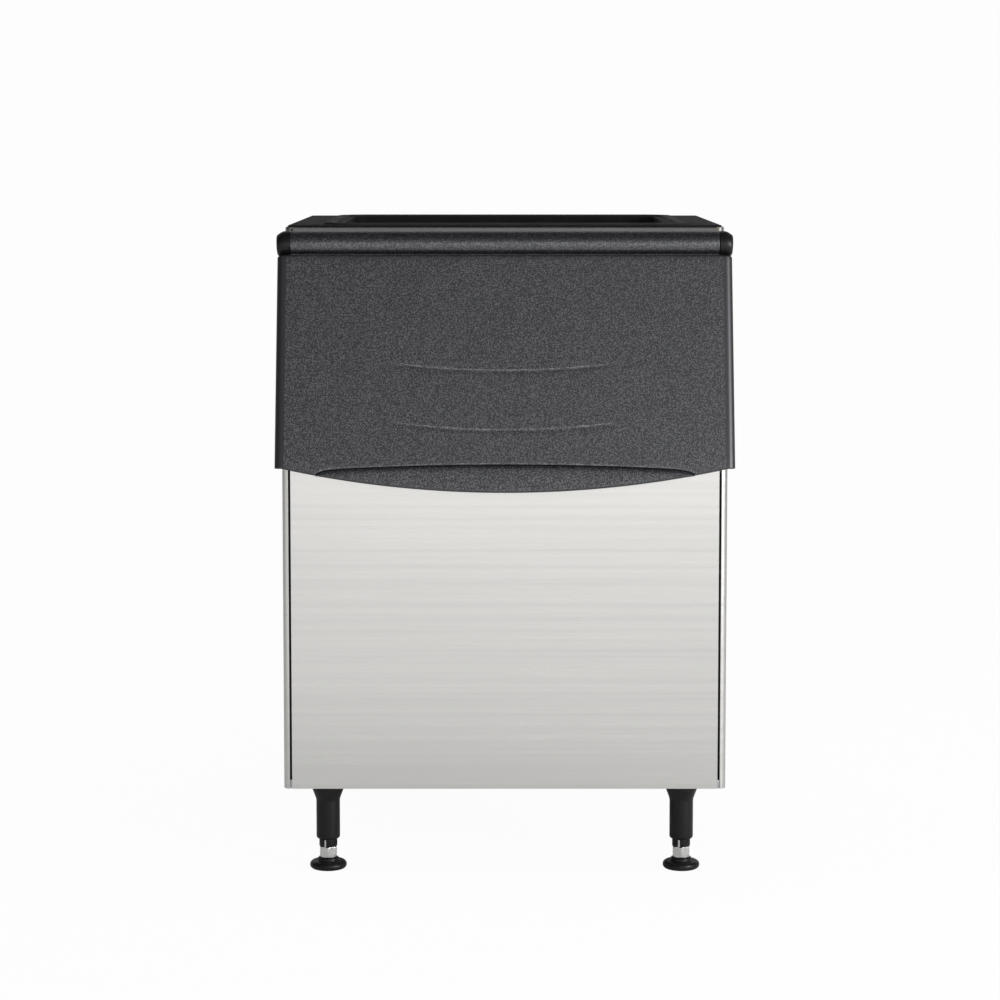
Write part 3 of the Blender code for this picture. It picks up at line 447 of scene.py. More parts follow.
def new_finish(name, colour, roughness, metallic=0.0, specular=0.5):
    """A material, its node tree and its shader's inputs."""
    material = bpy.data.materials.new(name)
    material.use_nodes = True
    material.diffuse_color = (*colour, 1.0)
    shader = material.node_tree.nodes["Principled BSDF"].inputs
    shader["Base Color"].default_value = (*colour, 1.0)
    shader["Roughness"].default_value = roughness
    shader["Metallic"].default_value = metallic
    shader["Specular IOR Level"].default_value = specular
    return material, material.node_tree, shader


def tint(shader, colour, factor, low_share, high_share):
    """Base colour between two shades of one colour, by a factor."""
    low, high = ([min(channel * share, 1.0) for channel in colour] for share in (low_share, high_share))
    inputs = {"Factor": factor, 6: (*low, 1.0), 7: (*high, 1.0)}
    link(add_node(factor.id_data, "Mix", inputs, data_type="RGBA")[2], shader["Base Color"])


def relief(shader, height, distance, strength=1.0):
    inputs = {"Height": height, "Distance": distance, "Strength": strength}
    link(add_node(height.id_data, "Bump", inputs)["Normal"], shader["Normal"])


def brushed_stainless():
    material, tree, shader = new_finish("brushed_stainless", STEEL_COLOUR, 0.30, 1.0)
    height, streak = add_node(tree, "Group", node_tree=BRUSHING)
    # Lighter along the brighter streaks, and lighter on rounded edges as a painted highlight.
    tone = plus(remap(streak, 0.3, 0.7, 0.0, 0.75), times(edges(tree, 0.0012), 0.5), clamp=True)
    tint(shader, STEEL_COLOUR, tone, 0.97, 1.04)
    rough = remap(streak, 0.25, 0.75, 0.22, 0.28)
    link(plus(rough, times(marks(tree, 3.0, 0.5), 0.02)), shader["Roughness"])
    relief(shader, height, 0.00002, 0.35)
    return material


def bright_stainless():
    material, tree, shader = new_finish("bright_stainless", BRIGHT_COLOUR, 0.2, 1.0)
    inputs = {"Scratch Scale": 2600.0, "Length Share": 0.05}
    height, streak = add_node(tree, "Group", inputs, node_tree=BRUSHING)
    # Base colour follows the streaks and is lighter on rounded edges: a painted highlight.
    tint(shader, BRIGHT_COLOUR, plus(streak, times(edges(tree, 0.0006), 0.4), clamp=True), 0.86, 1.12)
    link(remap(streak, 0.3, 0.7, 0.14, 0.3), shader["Roughness"])
    relief(shader, height, 0.00003, 0.3)
    return material


def galvanised_sheet():
    material, tree, shader = new_finish("galvanised_sheet", ZINC_COLOUR, 0.42, 0.9)
    spangle = add_node(tree, "TexVoronoi", {"Vector": object_position(tree), "Scale": 70.0})["Color"]
    shade = add_node(tree, "SeparateColor", {0: spangle})[0]
    tone = plus(times(shade, 0.6), times(marks(tree, 5.0), 0.3))
    # Spangle and handling marks vary the tone; rounded edges are lighter as a painted highlight.
    tint(shader, ZINC_COLOUR, plus(tone, times(edges(tree, 0.001), 0.4), clamp=True), 0.78, 1.14)
    link(remap(shade, 0.0, 1.0, 0.32, 0.5), shader["Roughness"])
    relief(shader, shade, 0.00003, 0.4)
    return material


def pebbled_charcoal():
    """Charcoal plastic, pebbled except along the door's side edges and its lower edge. The pebble domes are
    lightened in colour and coat as a painted highlight, weaker on the hinge roll; the smooth borders take
    none.
    """
    material, tree, shader = new_finish("pebbled_charcoal", CHARCOAL_COLOUR, 0.40, 0.0, 0.85)
    shader["Specular Tint"].default_value = (0.95, 0.96, 1.0, 1.0)
    shader["Coat Roughness"].default_value = 0.38
    shader["Coat IOR"].default_value = 1.95
    position = object_position(tree)
    axes = add_node(tree, "SeparateXYZ", {0: position})
    inner = DOOR_HALF - SMOOTH_BORDER
    grained = remap(maths("ABSOLUTE", axes[0]), inner, inner - SMOOTH_FADE)
    turn = {"Vector": position, "Rotation": (LEAN, 0, 0), "Location": (0, 0, DOOR_DROP - ARC_RADIUS)}
    from_centre = {0: add_node(tree, "Mapping", turn)[0], 1: (1, 0, 1)}
    level = add_node(tree, "VectorMath", from_centre, operation="MULTIPLY")[0]
    reach = add_node(tree, "VectorMath", {0: level}, operation="LENGTH")["Value"]
    grained = times(grained, remap(reach, ARC_RADIUS - ARC_BORDER / 2, ARC_RADIUS - ARC_BORDER))
    height = times(add_node(tree, "Group", node_tree=PEBBLES)["Height"], grained)
    # Painted shade: the dome highlight below is dimmed on the hinge roll, in colour and coat.
    pan = remap(axes[2], -ROLL_RADIUS, -1.4 * ROLL_RADIUS, 0.62, 0.94)
    pebble_highlight = times(remap(height, 0.3, 0.78), pan)
    link(pebble_highlight, shader["Coat Weight"])
    # Base colour: the painted dome highlight, with faint handling marks.
    tint(shader, CHARCOAL_COLOUR, plus(pebble_highlight, times(marks(tree, 4.0), 0.06)), 0.3, 2.4)
    link(maths("SUBTRACT", 0.44, times(height, 0.1)), shader["Roughness"])
    relief(shader, height, 0.00016)
    return material


def satin_black(name, colour, roughness, specular, grit=1400.0):
    material, tree, shader = new_finish(name, colour, roughness, 0.0, specular)
    grain = noise(object_position(tree), grit, 2.0, 0.6)
    # Handling marks lighten the tone a little; rounded edges are lighter as a painted highlight.
    tone = plus(times(marks(tree, 14.0), 0.35), times(edges(tree, 0.001), 0.65), clamp=True)
    tint(shader, colour, tone, 0.85, 1.9)
    link(plus(roughness - 0.04, times(grain, 0.1)), shader["Roughness"])
    relief(shader, grain, 0.00006, 0.35)
    return material


def moulded_white(name, colour, roughness):
    material, tree, shader = new_finish(name, colour, roughness)
    mark = marks(tree, 9.0)
    tint(shader, colour, mark, 1.0, 0.94)
    link(plus(roughness, times(mark, 0.08)), shader["Roughness"])
    relief(shader, noise(object_position(tree), 700.0, 2.0, 0.55), 0.00008, 0.4)
    return material


def cellular_foam():
    material, tree, shader = new_finish("cellular_foam", FOAM_COLOUR, 0.9, 0.0, 0.2)
    cells = add_node(tree, "TexVoronoi", {"Vector": object_position(tree), "Scale": 900.0})["Distance"]
    tint(shader, FOAM_COLOUR, cells, 0.8, 1.1)
    relief(shader, cells, 0.0004, 0.8)
    return material


BRUSHED = brushed_stainless()
BRIGHT = bright_stainless()
ZINC = galvanised_sheet()
CHARCOAL = pebbled_charcoal()
BLACK = satin_black("satin_black_plastic", BLACK_COLOUR, 0.38, 0.24)
DECK = satin_black("deck_black_plastic", DECK_COLOUR, 0.6, 0.04)
RUBBER = satin_black("seal_rubber", RUBBER_COLOUR, 0.75, 0.3, 600.0)
LINER_WHITE = moulded_white("liner_white", LINER_COLOUR, 0.42)
NYLON = moulded_white("bush_nylon", NYLON_COLOUR, 0.4)
FOAM = cellular_foam()

SLOTS = {BRUSHED: "stainless", BRIGHT: "stainless", ZINC: "galvanised", CHARCOAL: "charcoal_plastic"}
SLOTS |= {BLACK: "black_plastic", DECK: "black_plastic", RUBBER: "rubber"}
SLOTS |= {LINER_WHITE: "liner_plastic", FOAM: "foam"}
SHOWN_SOLIDS = {"door_foam": FOAM, "hinge_bush": NYLON, "hinge_pin": BRIGHT, "leg_socket": ZINC}


def finish_solids():
    """Finishes for the solids that are shown as they are."""
    for name, piece in frame["nodes"].items():
        for start, finish in SHOWN_SOLIDS.items():
            if name.startswith(start):
                piece.data.materials.clear()
                piece.data.materials.append(finish)


# Mesh helpers


def place(axis, along, first, second):
    """The point at `along` on the named axis, with the other two coordinates in X, Y, Z order."""
    point = [first, second]
    point.insert("XYZ".index(axis), along)
    return point


def bridge(rings, bm, closed=True):
    """Quads between rings of vertices."""
    count = len(rings[0])
    for low, high in zip(rings, rings[1:]):
        for i in range(count if closed else count - 1):
            after = (i + 1) % count
            bm.faces.new((low[i], low[after], high[after], high[i]))


def skin(rings, closed=True, joined=False, bm=None):
    """Quads between rings of points, with flat ends or with the last ring joined to the first."""
    bm = bmesh.new() if bm is None else bm
    made = [[bm.verts.new(point) for point in ring] for ring in rings]
    bridge(made + made[:1] if joined else made, bm, closed)
    if closed and not joined:
        bm.faces.new(made[0])
        bm.faces.new(made[-1])
    return bm


def lofted(levels, axis="Z", joined=False, bm=None):
    """A skin through flat outlines, each given with its place along the axis."""
    rings = [[place(axis, along, *point) for point in outline] for outline, along in levels]
    return skin(rings, joined=joined, bm=bm)


def extruded(outline, axis, start, stop, bm=None):
    return lofted([(outline, start), (outline, stop)], axis, bm=bm)


def turned(profile, sides, axis="Z", joined=False, bm=None):
    return lofted([(circle(radius, sides), along) for radius, along in profile], axis, joined, bm)


def arc(centre, radius, start, stop, steps):
    angles = [start + (stop - start) * i / steps for i in range(steps + 1)]
    return [(centre[0] + radius * cos(a), centre[1] + radius * sin(a)) for a in angles]


def circle(radius, sides, centre=(0, 0)):
    return arc(centre, radius, 0, tau * (sides - 1) / sides, sides - 1)


def rounded(corners, steps=4, closed=False):
    """An outline whose corners, given as first, second and radius, become arcs."""
    points = []
    for i, (first, second, radius) in enumerate(corners):
        if not radius or (not closed and i in (0, len(corners) - 1)):
            points.append((first, second))
            continue
        here = Vector((first, second))
        before = Vector(corners[i - 1][:2]) - here
        after = Vector(corners[(i + 1) % len(corners)][:2]) - here
        half = before.angle(after) / 2
        reach = min(radius / tan(half), before.length / 2, after.length / 2)
        middle = (before.normalized() + after.normalized()).normalized()
        centre = here + middle * (reach / cos(half))
        start = here + before.normalized() * reach - centre
        stop = here + after.normalized() * reach - centre
        first_angle = atan2(start.y, start.x)
        turn = (atan2(stop.y, stop.x) - first_angle + pi) % tau - pi
        points += arc(centre, start.length, first_angle, first_angle + turn, steps)
    return points


def rounded_rectangle(low, high, radius, steps=10):
    corners = [(*high, radius), (low[0], high[1], radius), (*low, radius), (high[0], low[1], radius)]
    return rounded(corners, steps, closed=True)


def grown(low, high, radius, margin, steps=10):
    """A rounded rectangle moved outward by a margin."""
    low = (low[0] - margin, low[1] - margin)
    high = (high[0] + margin, high[1] + margin)
    return rounded_rectangle(low, high, max(radius + margin, MM / 2), steps)


def hexagon_levels(flats, low, high, sides=72):
    """Levels of a hexagonal bar along Z, cut round by a chamfer cone at both ends."""
    rise = flats * HEX_CHAMFER_SHARE
    climbs = [rise * k / 4 for k in range(5)]
    levels = [(low + climb, flats / 2 * HEX_FACE_SHARE + climb / tan(HEX_CHAMFER)) for climb in climbs]
    levels += [(low + high - height, widest) for height, widest in reversed(levels)]
    outlines = []
    for height, widest in levels:
        outline = []
        for i in range(sides):
            angle = tau * i / sides
            size = min(flats / 2 / cos(angle % (pi / 3) - pi / 6), widest)
            outline.append((size * cos(angle + pi / 2), size * sin(angle + pi / 2)))
        outlines.append((outline, height))
    return outlines


def spread(share, table):
    """The value at a share along a table of shares and values."""
    for (before, low), (after, high) in zip(table, table[1:]):
        if share <= after:
            return low + (high - low) * (share - before) / (after - before)
    return table[-1][1]


def smooth_step(value):
    value = min(max(value, 0.0), 1.0)
    return value * value * (3 - 2 * value)


def on_face(rise, out):
    """World Y and Z of a point up the leaning face from the knee and out from the face."""
    y = FRONT + rise * sin(LEAN) - out * cos(LEAN)
    return (y, KNEE_HEIGHT + rise * cos(LEAN) + out * sin(LEAN))


def face_y(height, inset=0.0):
    """World Y of the front at a height: upright below the knee and leaning above it."""
    lean = max(height - KNEE_HEIGHT, 0.0) * tan(LEAN)
    return FRONT + lean + (inset / cos(LEAN) if lean else inset)


# Pieces


def add_object(name, data):
    made = bpy.data.objects.new(name, data)
    bpy.context.scene.collection.objects.link(made)
    return made


def made_mesh(name, bm):
    bmesh.ops.recalc_face_normals(bm, faces=bm.faces)
    mesh = bpy.data.meshes.new(name)
    bm.to_mesh(mesh)
    bm.free()
    return mesh


def finished_mesh(name, bm, finish, smooth=40):
    """A smooth mesh with one finish, sharp where faces meet at more than `smooth` degrees."""
    mesh = made_mesh(name, bm)
    mesh.materials.append(finish)
    mesh.shade_smooth()
    mesh.set_sharp_from_angle(angle=radians(smooth))
    return mesh


def carve(bm, cutter):
    """The mesh with a cutter taken out of it."""
    holders = [add_object("carving", made_mesh("carving", part)) for part in (bm, cutter)]
    modifier = holders[0].modifiers.new("cut", "BOOLEAN")
    modifier.solver = "EXACT"
    modifier.operation = "DIFFERENCE"
    modifier.object = holders[1]
    evaluated = holders[0].evaluated_get(bpy.context.evaluated_depsgraph_get())
    carved = bmesh.new()
    carved.from_mesh(evaluated.to_mesh())
    evaluated.to_mesh_clear()
    for holder in holders:
        mesh = holder.data
        bpy.data.objects.remove(holder)
        bpy.data.meshes.remove(mesh)
    return carved


def add_copy(name, mesh, replaced="", body=FIXED, matrix=Matrix(), bevel=0.0):
    piece = add_object(name, mesh)
    piece.matrix_world = matrix
    if bevel:
        modifier = piece.modifiers.new("edges", "BEVEL")
        modifier.width = bevel
        modifier.segments = 2
        modifier.limit_method = "ANGLE"
        modifier.angle_limit = radians(40)
        modifier.harden_normals = True
    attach(piece, body)
    if replaced:
        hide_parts(replaced)
    return piece


def add_piece(name, bm, finish, replaced, body=FIXED, matrix=Matrix(), bevel=0.0, smooth=40):
    """A piece in place of a solid; the matrix's turn goes into the mesh, to keep its box tight."""
    bm.transform(matrix.to_3x3().to_4x4())
    mesh = finished_mesh(name, bm, finish, smooth)
    return add_copy(name, mesh, replaced, body, Matrix.Translation(matrix.translation), bevel)


# Screws


def screw_mesh(name, head_radius, head_height, shank_radius, length):
    """A pan-head screw along Z with its head's underside at zero, and a cross recess."""
    profile = [
        (shank_radius, -length, 0),
        (shank_radius, 0, 0),
        (head_radius, 0, head_height * 0.1),
        (head_radius, head_height * 0.55, head_height * 0.7),
        (head_radius * 0.5, head_height, head_radius),
        (head_radius * 0.05, head_height, 0),
    ]
    bm = turned(rounded(profile, 5), 40)
    wide, narrow = head_radius * 0.52, head_radius * 0.11
    cross = [(wide, narrow), (narrow, narrow), (narrow, wide)]
    for _ in range(3):
        cross += [(-y, x) for x, y in cross[-3:]]
    levels = ((1.2, 1.0), (0.95, 1.0), (0.1, 0.45))
    cutter = lofted([([(x * size, y * size) for x, y in cross], head_height * z) for z, size in levels])
    return finished_mesh(name, carve(bm, cutter), BRIGHT, 35)


def add_screw(name, mesh, side, out, y, z, turn, replaced=""):
    """A screw on the cabinet's side, with its head's underside `out` from the middle."""
    where = Matrix.Translation((side * out, y, z)) @ Matrix.Rotation(side * pi / 2, 4, "Y")
    add_copy(name, mesh, replaced, matrix=where @ Matrix.Rotation(turn, 4, "Z"))


def hinge_screws():
    mesh = screw_mesh("hinge_screw", SCREW_HEAD_RADIUS, SCREW_HEAD_HEIGHT, SCREW_RADIUS, SCREW_LENGTH)
    out = HALF_WIDTH + GAP + EAR_THICKNESS
    for word, side in SIDES:
        for number, turn in enumerate(SCREW_TURNS):
            y, z = on_face(HINGE_RISE, HINGE_STAND_OFF - EAR_REACH + SCREW_SPACING * number)
            node = f"hinge_screw_{word}_{number + 1}"
            add_screw(node + "_crossed", mesh, side, out, y, z, turn, node)


def back_screws():
    """The screws that hold the back panel's turned edges to the sides."""
    head = (BACK_SCREW_HEAD_RADIUS, BACK_SCREW_HEAD_HEIGHT)
    mesh = screw_mesh("small_screw", *head, BACK_SCREW_RADIUS, BACK_SCREW_LENGTH)
    length = TOP - BASE - 2 * BACK_SCREW_MARGIN
    y = BACK - BACK_SCREW_INSET
    for word, side in SIDES:
        for number in range(BACK_SCREWS):
            z = BASE + BACK_SCREW_MARGIN + length * number / (BACK_SCREWS - 1)
            turn = number * BACK_SCREW_TURN
            add_screw(f"back_screw_{word}_{number + 1}", mesh, side, HALF_WIDTH, y, z, turn)


# Sheets


def bent_sheet(name, corners, steps, axis, reach, finish, replaced, matrix=Matrix()):
    bm = extruded(rounded(corners, steps, closed=True), axis, *reach)
    add_piece(name, bm, finish, replaced, matrix=matrix, bevel=SHEET_EDGE)


def front_sheet():
    half = PANEL_HALF - SEAM_TRIM
    corners = [
        (FRONT, BASE, 0),
        (FRONT, KNEE_HEIGHT, KNEE_BEND + STEEL),
        (*on_face(FRONT_FOLD, 0), 0),
        (*on_face(FRONT_FOLD, -STEEL), 0),
        (FRONT + STEEL, KNEE_HEIGHT - STEEL * tan(LEAN / 2), KNEE_BEND),
        (FRONT + STEEL, BASE, 0),
    ]
    bent_sheet("front_sheet", corners, 8, "X", (-half, half), BRUSHED, "front_panel")


def header_sheet():
    top_y = face_y(TOP)
    corners = [
        (*on_face(HEADER_LOW, 0), 0),
        (top_y, TOP, SHEET_BEND + STEEL),
        (top_y + HEADER_FOLD, TOP, 0),
        (top_y + HEADER_FOLD, TOP - STEEL, 0),
        (face_y(TOP - STEEL, STEEL), TOP - STEEL, SHEET_BEND),
        (*on_face(HEADER_LOW, -STEEL), 0),
    ]
    bent_sheet("header_sheet", corners, 6, "X", (-PANEL_HALF, PANEL_HALF), BRUSHED, "header_panel")


def back_sheet():
    half = HALF_WIDTH - STEEL - GAP
    flange = BACK - FLANGE
    right = [(half, BACK, SHEET_BEND + STEEL), (half, flange, 0), (half - STEEL, flange, 0)]
    right += [(half - STEEL, BACK - STEEL, SHEET_BEND)]
    corners = right + [(-x, y, radius) for x, y, radius in reversed(right)]
    bent_sheet("back_sheet", corners, 5, "Z", (BASE, TOP), ZINC, "back_panel")


def side_sheet(word, side):
    """A flat side whose front edge is rolled round the corner, following the leaning front."""
    heights = [BASE, BASE + (KNEE_HEIGHT - BASE) / 2]
    heights += [KNEE_HEIGHT + KNEE_BEND * k / 3 for k in range(-3, 4)]
    heights += [KNEE_HEIGHT + (TOP - KNEE_HEIGHT) * k / 3 for k in (1, 2, 3)]
    rear = BACK - GAP
    last = SEAM_TURN - pi / 2
    levels = []
    for height in heights:
        near = abs(height - KNEE_HEIGHT) / KNEE_BEND
        front = face_y(height) + KNEE_BEND * tan(LEAN) / 4 * max(1 - near, 0) ** 2
        centre = (HALF_WIDTH - CORNER_RADIUS, front + CORNER_RADIUS)
        outline = [(HALF_WIDTH, rear), (HALF_WIDTH, (rear + front) / 2)]
        outline += arc(centre, CORNER_RADIUS, 0, last, 18)
        outline += arc(centre, CORNER_RADIUS - STEEL, last, 0, 18)
        outline += [(HALF_WIDTH - STEEL, (rear + front) / 2), (HALF_WIDTH - STEEL, rear)]
        levels.append(([(side * x, y) for x, y in outline], height))
    bm = lofted(levels)
    add_piece(f"{word}_side_sheet", bm, BRUSHED, f"{word}_side_panel", bevel=SHEET_EDGE)


def bottom_pan():
    """A pan with turned-up edges, and its stud and drain holes."""
    half = HALF_WIDTH - STEEL * 2 - GAP * 2
    low = (-half, FRONT + STEEL + GAP)
    high = (half, BACK - STEEL - GAP)
    insets = ((1.4, 0.0), (0.4, 0.4), (0.0, 1.4), (0.0, FLANGE / PAN_SHEET))
    insets += ((1.0, FLANGE / PAN_SHEET), (1.0, 1.5), (1.5, 1.0))
    levels = []
    for inset, z in insets:
        levels.append((grown(low, high, CORNER_RADIUS, -PAN_SHEET * inset), BASE + PAN_SHEET * z))
    bm = lofted(levels)
    holes = bmesh.new()
    places = [(centre, STUD_RADIUS) for centre in LEG_PLACES.values()] + [((0, DRAIN_Y), DRAIN_RADIUS)]
    for centre, radius in places:
        outline = circle(radius + GAP, 40, centre)
        extruded(outline, "Z", BASE - CUT_OVERRUN, BASE + PAN_SHEET + CUT_OVERRUN, bm=holes)
    add_piece("bottom_pan", carve(bm, holes), ZINC, "bottom_panel", smooth=35)


def foam_block():
    """The insulation, cleared behind the seams at the two front corners, with the dark rubber finish in the
    seams as painted seam shade.
    """
    foam = frame["nodes"]["foam_insulation"]
    bm = bmesh.new()
    bm.from_mesh(foam.data)
    bm.transform(foam.matrix_world)
    heights = (BASE - FLANGE, KNEE_HEIGHT, TOP + FLANGE)
    outline = [(face_y(height) - CUT_OVERRUN, height) for height in heights]
    outline += [(face_y(height) + SEAM_DEPTH, height) for height in reversed(heights)]
    for _, side in SIDES:
        cutter = extruded(outline, "X", side * (PANEL_HALF - SEAM_WIDTH), side * (PANEL_HALF + SEAM_WIDTH))
        bm = carve(bm, cutter)
    # Faces in the seams take the second finish, dark rubber, as painted seam shade.
    for face in bm.faces:
        x, y, z = face.calc_center_median()
        painted_seam_shade = abs(abs(x) - PANEL_HALF) < SEAM_WIDTH + MM
        face.material_index = int(painted_seam_shade and y < face_y(z) + SEAM_DEPTH + MM)
    block = add_piece("foam_block", bm, FOAM, "foam_insulation", smooth=30)
    block.data.materials.append(RUBBER)


# Legs


def leg_sleeve(word, where):
    """A moulded leg with a stud, a flared head, a round shoulder and a slotted collar."""
    top = BASE - GAP
    shoulder = LEG_SHOULDER_HEIGHT - LEG_SHOULDER_ROUND
    bore = STEM_RADIUS + GAP
    profile = [
        (STUD_RADIUS, SOCKET_TOP, 0),
        (STUD_RADIUS, top, 0),
        (LEG_FLARE_RADIUS, top, LEG_FLARE_EDGE),
        (LEG_FLARE_RADIUS, LEG_FLARE_HIGH, LEG_SHOULDER_ROUND),
        (LEG_RADIUS, LEG_FLARE_LOW, LEG_RADIUS),
        (LEG_RADIUS, shoulder, LEG_SHOULDER_ROUND),
        (bore, shoulder, 0),
        (bore, STEM_TOP + STEM_HEADROOM, 0),
    ]
    bm = turned(rounded(profile, 8), 72)
    edge = SLOT_WIDTH / 6
    inner = SHANK_RADIUS + GAP
    section = [(inner, COLLAR_LOW, edge / 2), (COLLAR_RADIUS, COLLAR_LOW, edge)]
    section += [(COLLAR_RADIUS, shoulder + edge, 0), (inner, shoulder + edge, 0)]
    section = rounded(section, 3, closed=True)
    half_slot = asin(SLOT_WIDTH / 2 / COLLAR_RADIUS)
    for k in range(4):
        start = SLOT_TURN + pi / 2 * k + half_slot
        directions = arc((0, 0), 1.0, start, start + pi / 2 - 2 * half_slot, 14)
        skin([[(r * x, r * y, z) for r, z in section] for x, y in directions], bm=bm)
    name = "leg_sleeve_" + word
    add_piece(name + "_moulding", bm, BLACK, name, matrix=where)


def stem_thread(low, high, bm, sides=32):
    """The threaded part of a stem."""
    steps = round((high - low) / THREAD_PITCH * THREAD_RINGS)
    rings = []
    for k in range(steps + 1):
        height = low + (high - low) * k / steps
        ring = []
        for i in range(sides):
            phase = (height / THREAD_PITCH - i / sides) % 1.0
            size = STEM_RADIUS - THREAD_DEPTH * abs(2 * phase - 1)
            ring.append((size * cos(tau * i / sides), size * sin(tau * i / sides), height))
        rings.append(ring)
    skin(rings, bm=bm)


def leg_stem(word, where):
    """The levelling stem: a threaded rod above a chamfered hexagon, and the foot set in the pad."""
    hex_top = COLLAR_LOW - GAP
    middle = (HEX_LOW + hex_top) / 2
    thread_top = middle + STEM_THREAD
    bm = lofted(hexagon_levels(HEX_FLATS, HEX_LOW, hex_top))
    turned([(STEM_FOOT_RADIUS, STEM_FOOT_LOW), (STEM_FOOT_RADIUS, middle)], 40, bm=bm)
    turned([(SHANK_RADIUS, middle), (SHANK_RADIUS, SHANK_TOP)], 40, bm=bm)
    stem_thread(middle, thread_top, bm)
    end = [(STEM_RADIUS, thread_top, 0), (STEM_RADIUS, STEM_TOP, THREAD_PITCH), (THREAD_DEPTH, STEM_TOP, 0)]
    turned(rounded(end), 32, bm=bm)
    name = "leg_stem_" + word
    add_piece(name + "_threaded", bm, BRIGHT, name, "foot_" + word, where, smooth=28)


def foot_pad(word, where):
    """A round pad with a full-round rim, a raised hub and gripping rings below."""
    rim = PAD_THICKNESS / 2
    hub_top = HEX_LOW - GAP
    edge = (hub_top - PAD_THICKNESS) / 2
    seat = STEM_FOOT_RADIUS + GAP
    profile = [(GRIP_WIDTH / 4, 0)]
    for k in range(1, GRIP_RINGS):
        near, far = GRIP_WIDTH * k, GRIP_WIDTH * k + GRIP_WIDTH / 2
        profile += [(near, 0), (near + GRIP_DEPTH / 2, GRIP_DEPTH)]
        profile += [(far - GRIP_DEPTH / 2, GRIP_DEPTH), (far, 0)]
    profile += arc((PAD_RADIUS - rim, rim), rim, -pi / 2, pi / 2, 16)
    hub = [(HUB_RADIUS + edge, PAD_THICKNESS, 0), (HUB_RADIUS, PAD_THICKNESS, edge / 2)]
    hub += [(HUB_RADIUS, hub_top, edge), (seat, hub_top, 0), (seat, STEM_FOOT_LOW - GAP, 0)]
    bm = turned(profile + rounded(hub, 5), 80)
    name = "foot_pad_" + word
    add_piece(name + "_moulding", bm, BLACK, name, "foot_" + word, where)


def legs():
    for word, centre in LEG_PLACES.items():
        where = Matrix.Translation((*centre, 0))
        leg_sleeve(word, where)
        leg_stem(word, where)
        foot_pad(word, where)


# Hinges


def ear_outline(inset):
    right = pi / 2 - asin((EAR_RADIUS - EAR_TIP_RADIUS) / EAR_REACH)
    outline = arc((EAR_REACH, 0), EAR_TIP_RADIUS - inset, -right, right, 20)
    return outline + arc((0, 0), EAR_RADIUS - inset, right, tau - right, 24)


def hinge_bracket(word, side):
    """A capped boss in line with the door's roll, and an ear that screws to the cabinet's side."""
    cap = []
    for k in range(CAP_STATIONS + 1):
        share = (k / CAP_STATIONS) ** 2
        low, high = (spread(share, table) * ROLL_RADIUS for table in (CAP_LOW, CAP_HIGH))
        cap.append(((high - low) / 2, (high + low) / 2, BRACKET_OUTER - share * BRACKET_WIDTH))
    radius, middle, x = cap[-1]
    cap.append((radius * CAP_EDGE_SHARE, middle * CAP_EDGE_SHARE, x - CAP_EDGE))
    bm = lofted([(circle(radius, 64, (0, middle)), side * x) for radius, middle, x in cap], "X")
    ear = []
    for share, inset in ((0, 0.0), (0.75, 0.0), (0.92, 0.2), (1, 0.8)):
        ear.append((ear_outline(EAR_EDGE * inset), side * (HALF_WIDTH + GAP + EAR_THICKNESS * share)))
    lofted(ear, "X", bm=bm)
    name = "hinge_bracket_" + word
    add_piece(name + "_moulding", bm, BLACK, name, matrix=HINGE_PLACE)


# Frames round the openings


def opening_loop(margin):
    return grown((-OPENING_HALF, OPENING_LOW), (OPENING_HALF, OPENING_HIGH), OPENING_RADIUS, margin)


def drop_loop(margin):
    low = (-DROP_HALF, FRONT + DROP_FRONT)
    return grown(low, (DROP_HALF, BACK - DROP_BACK_MARGIN), DROP_RADIUS, margin)


def seal_loop(margin):
    low = (-OPENING_HALF, OPENING_LOW - HINGE_RISE)
    high = (OPENING_HALF, OPENING_HIGH - HINGE_RISE)
    return grown(low, high, OPENING_RADIUS, SEAL_MARGIN + margin)


def sleeve_levels(loop, face, end, underside, edge):
    """Levels of an opening's rolled rim and sleeve, from the frame's face to the sleeve's end and back."""
    way = copysign(1.0, end - face)
    angles = [pi / 2 * k / 5 for k in range(6)]
    levels = [(loop(FRAME_WALL * (1 - sin(a))), face + way * FRAME_WALL * (1 - cos(a))) for a in angles]
    levels += [(loop(0.0), end - way * edge), (loop(edge), end), (loop(FRAME_WALL), end)]
    return levels + [(loop(FRAME_WALL), underside)]


def door_surround():
    """The moulded surround of the door opening, with its sleeve through to the storage space."""
    edge = FRAME_WALL / 4
    low, high = (-PANEL_HALF, FRONT_FOLD + GAP), (PANEL_HALF, HEADER_LOW - GAP)
    plate = rounded_rectangle(low, high, edge)
    inset = rounded_rectangle((low[0] + edge, low[1] + edge), (high[0] - edge, high[1] - edge), edge)
    levels = [(plate, FRAME_WALL), (plate, edge), (inset, 0.0)]
    levels += sleeve_levels(opening_loop, 0.0, FACE_INNER, FRAME_WALL, edge)
    bm = lofted(levels, "Y", joined=True)
    add_piece("door_surround", bm, DECK, "door_frame", matrix=FACE_PLACE)


def top_deck():
    """The moulded top with the ice drop opening and its skirt."""
    half = HALF_WIDTH - TOP_INSET
    low, high = (-half, FRONT + LEAN_DEPTH + TOP_INSET), (half, BACK - TOP_INSET)
    edge = FRAME_WALL / 3
    insets = ((0.0, TOP_UNDERSIDE), (0.0, TOP_FACE - edge))
    insets += ((edge * 0.3, TOP_FACE - edge * 0.3), (edge, TOP_FACE))
    levels = [(grown(low, high, CORNER_RADIUS, -inset), z) for inset, z in insets]
    levels += sleeve_levels(drop_loop, TOP_FACE, TOP - DROP_SKIRT, TOP_UNDERSIDE, edge)
    bm = lofted(levels, joined=True)
    add_piece("top_deck", bm, DECK, "top_frame")


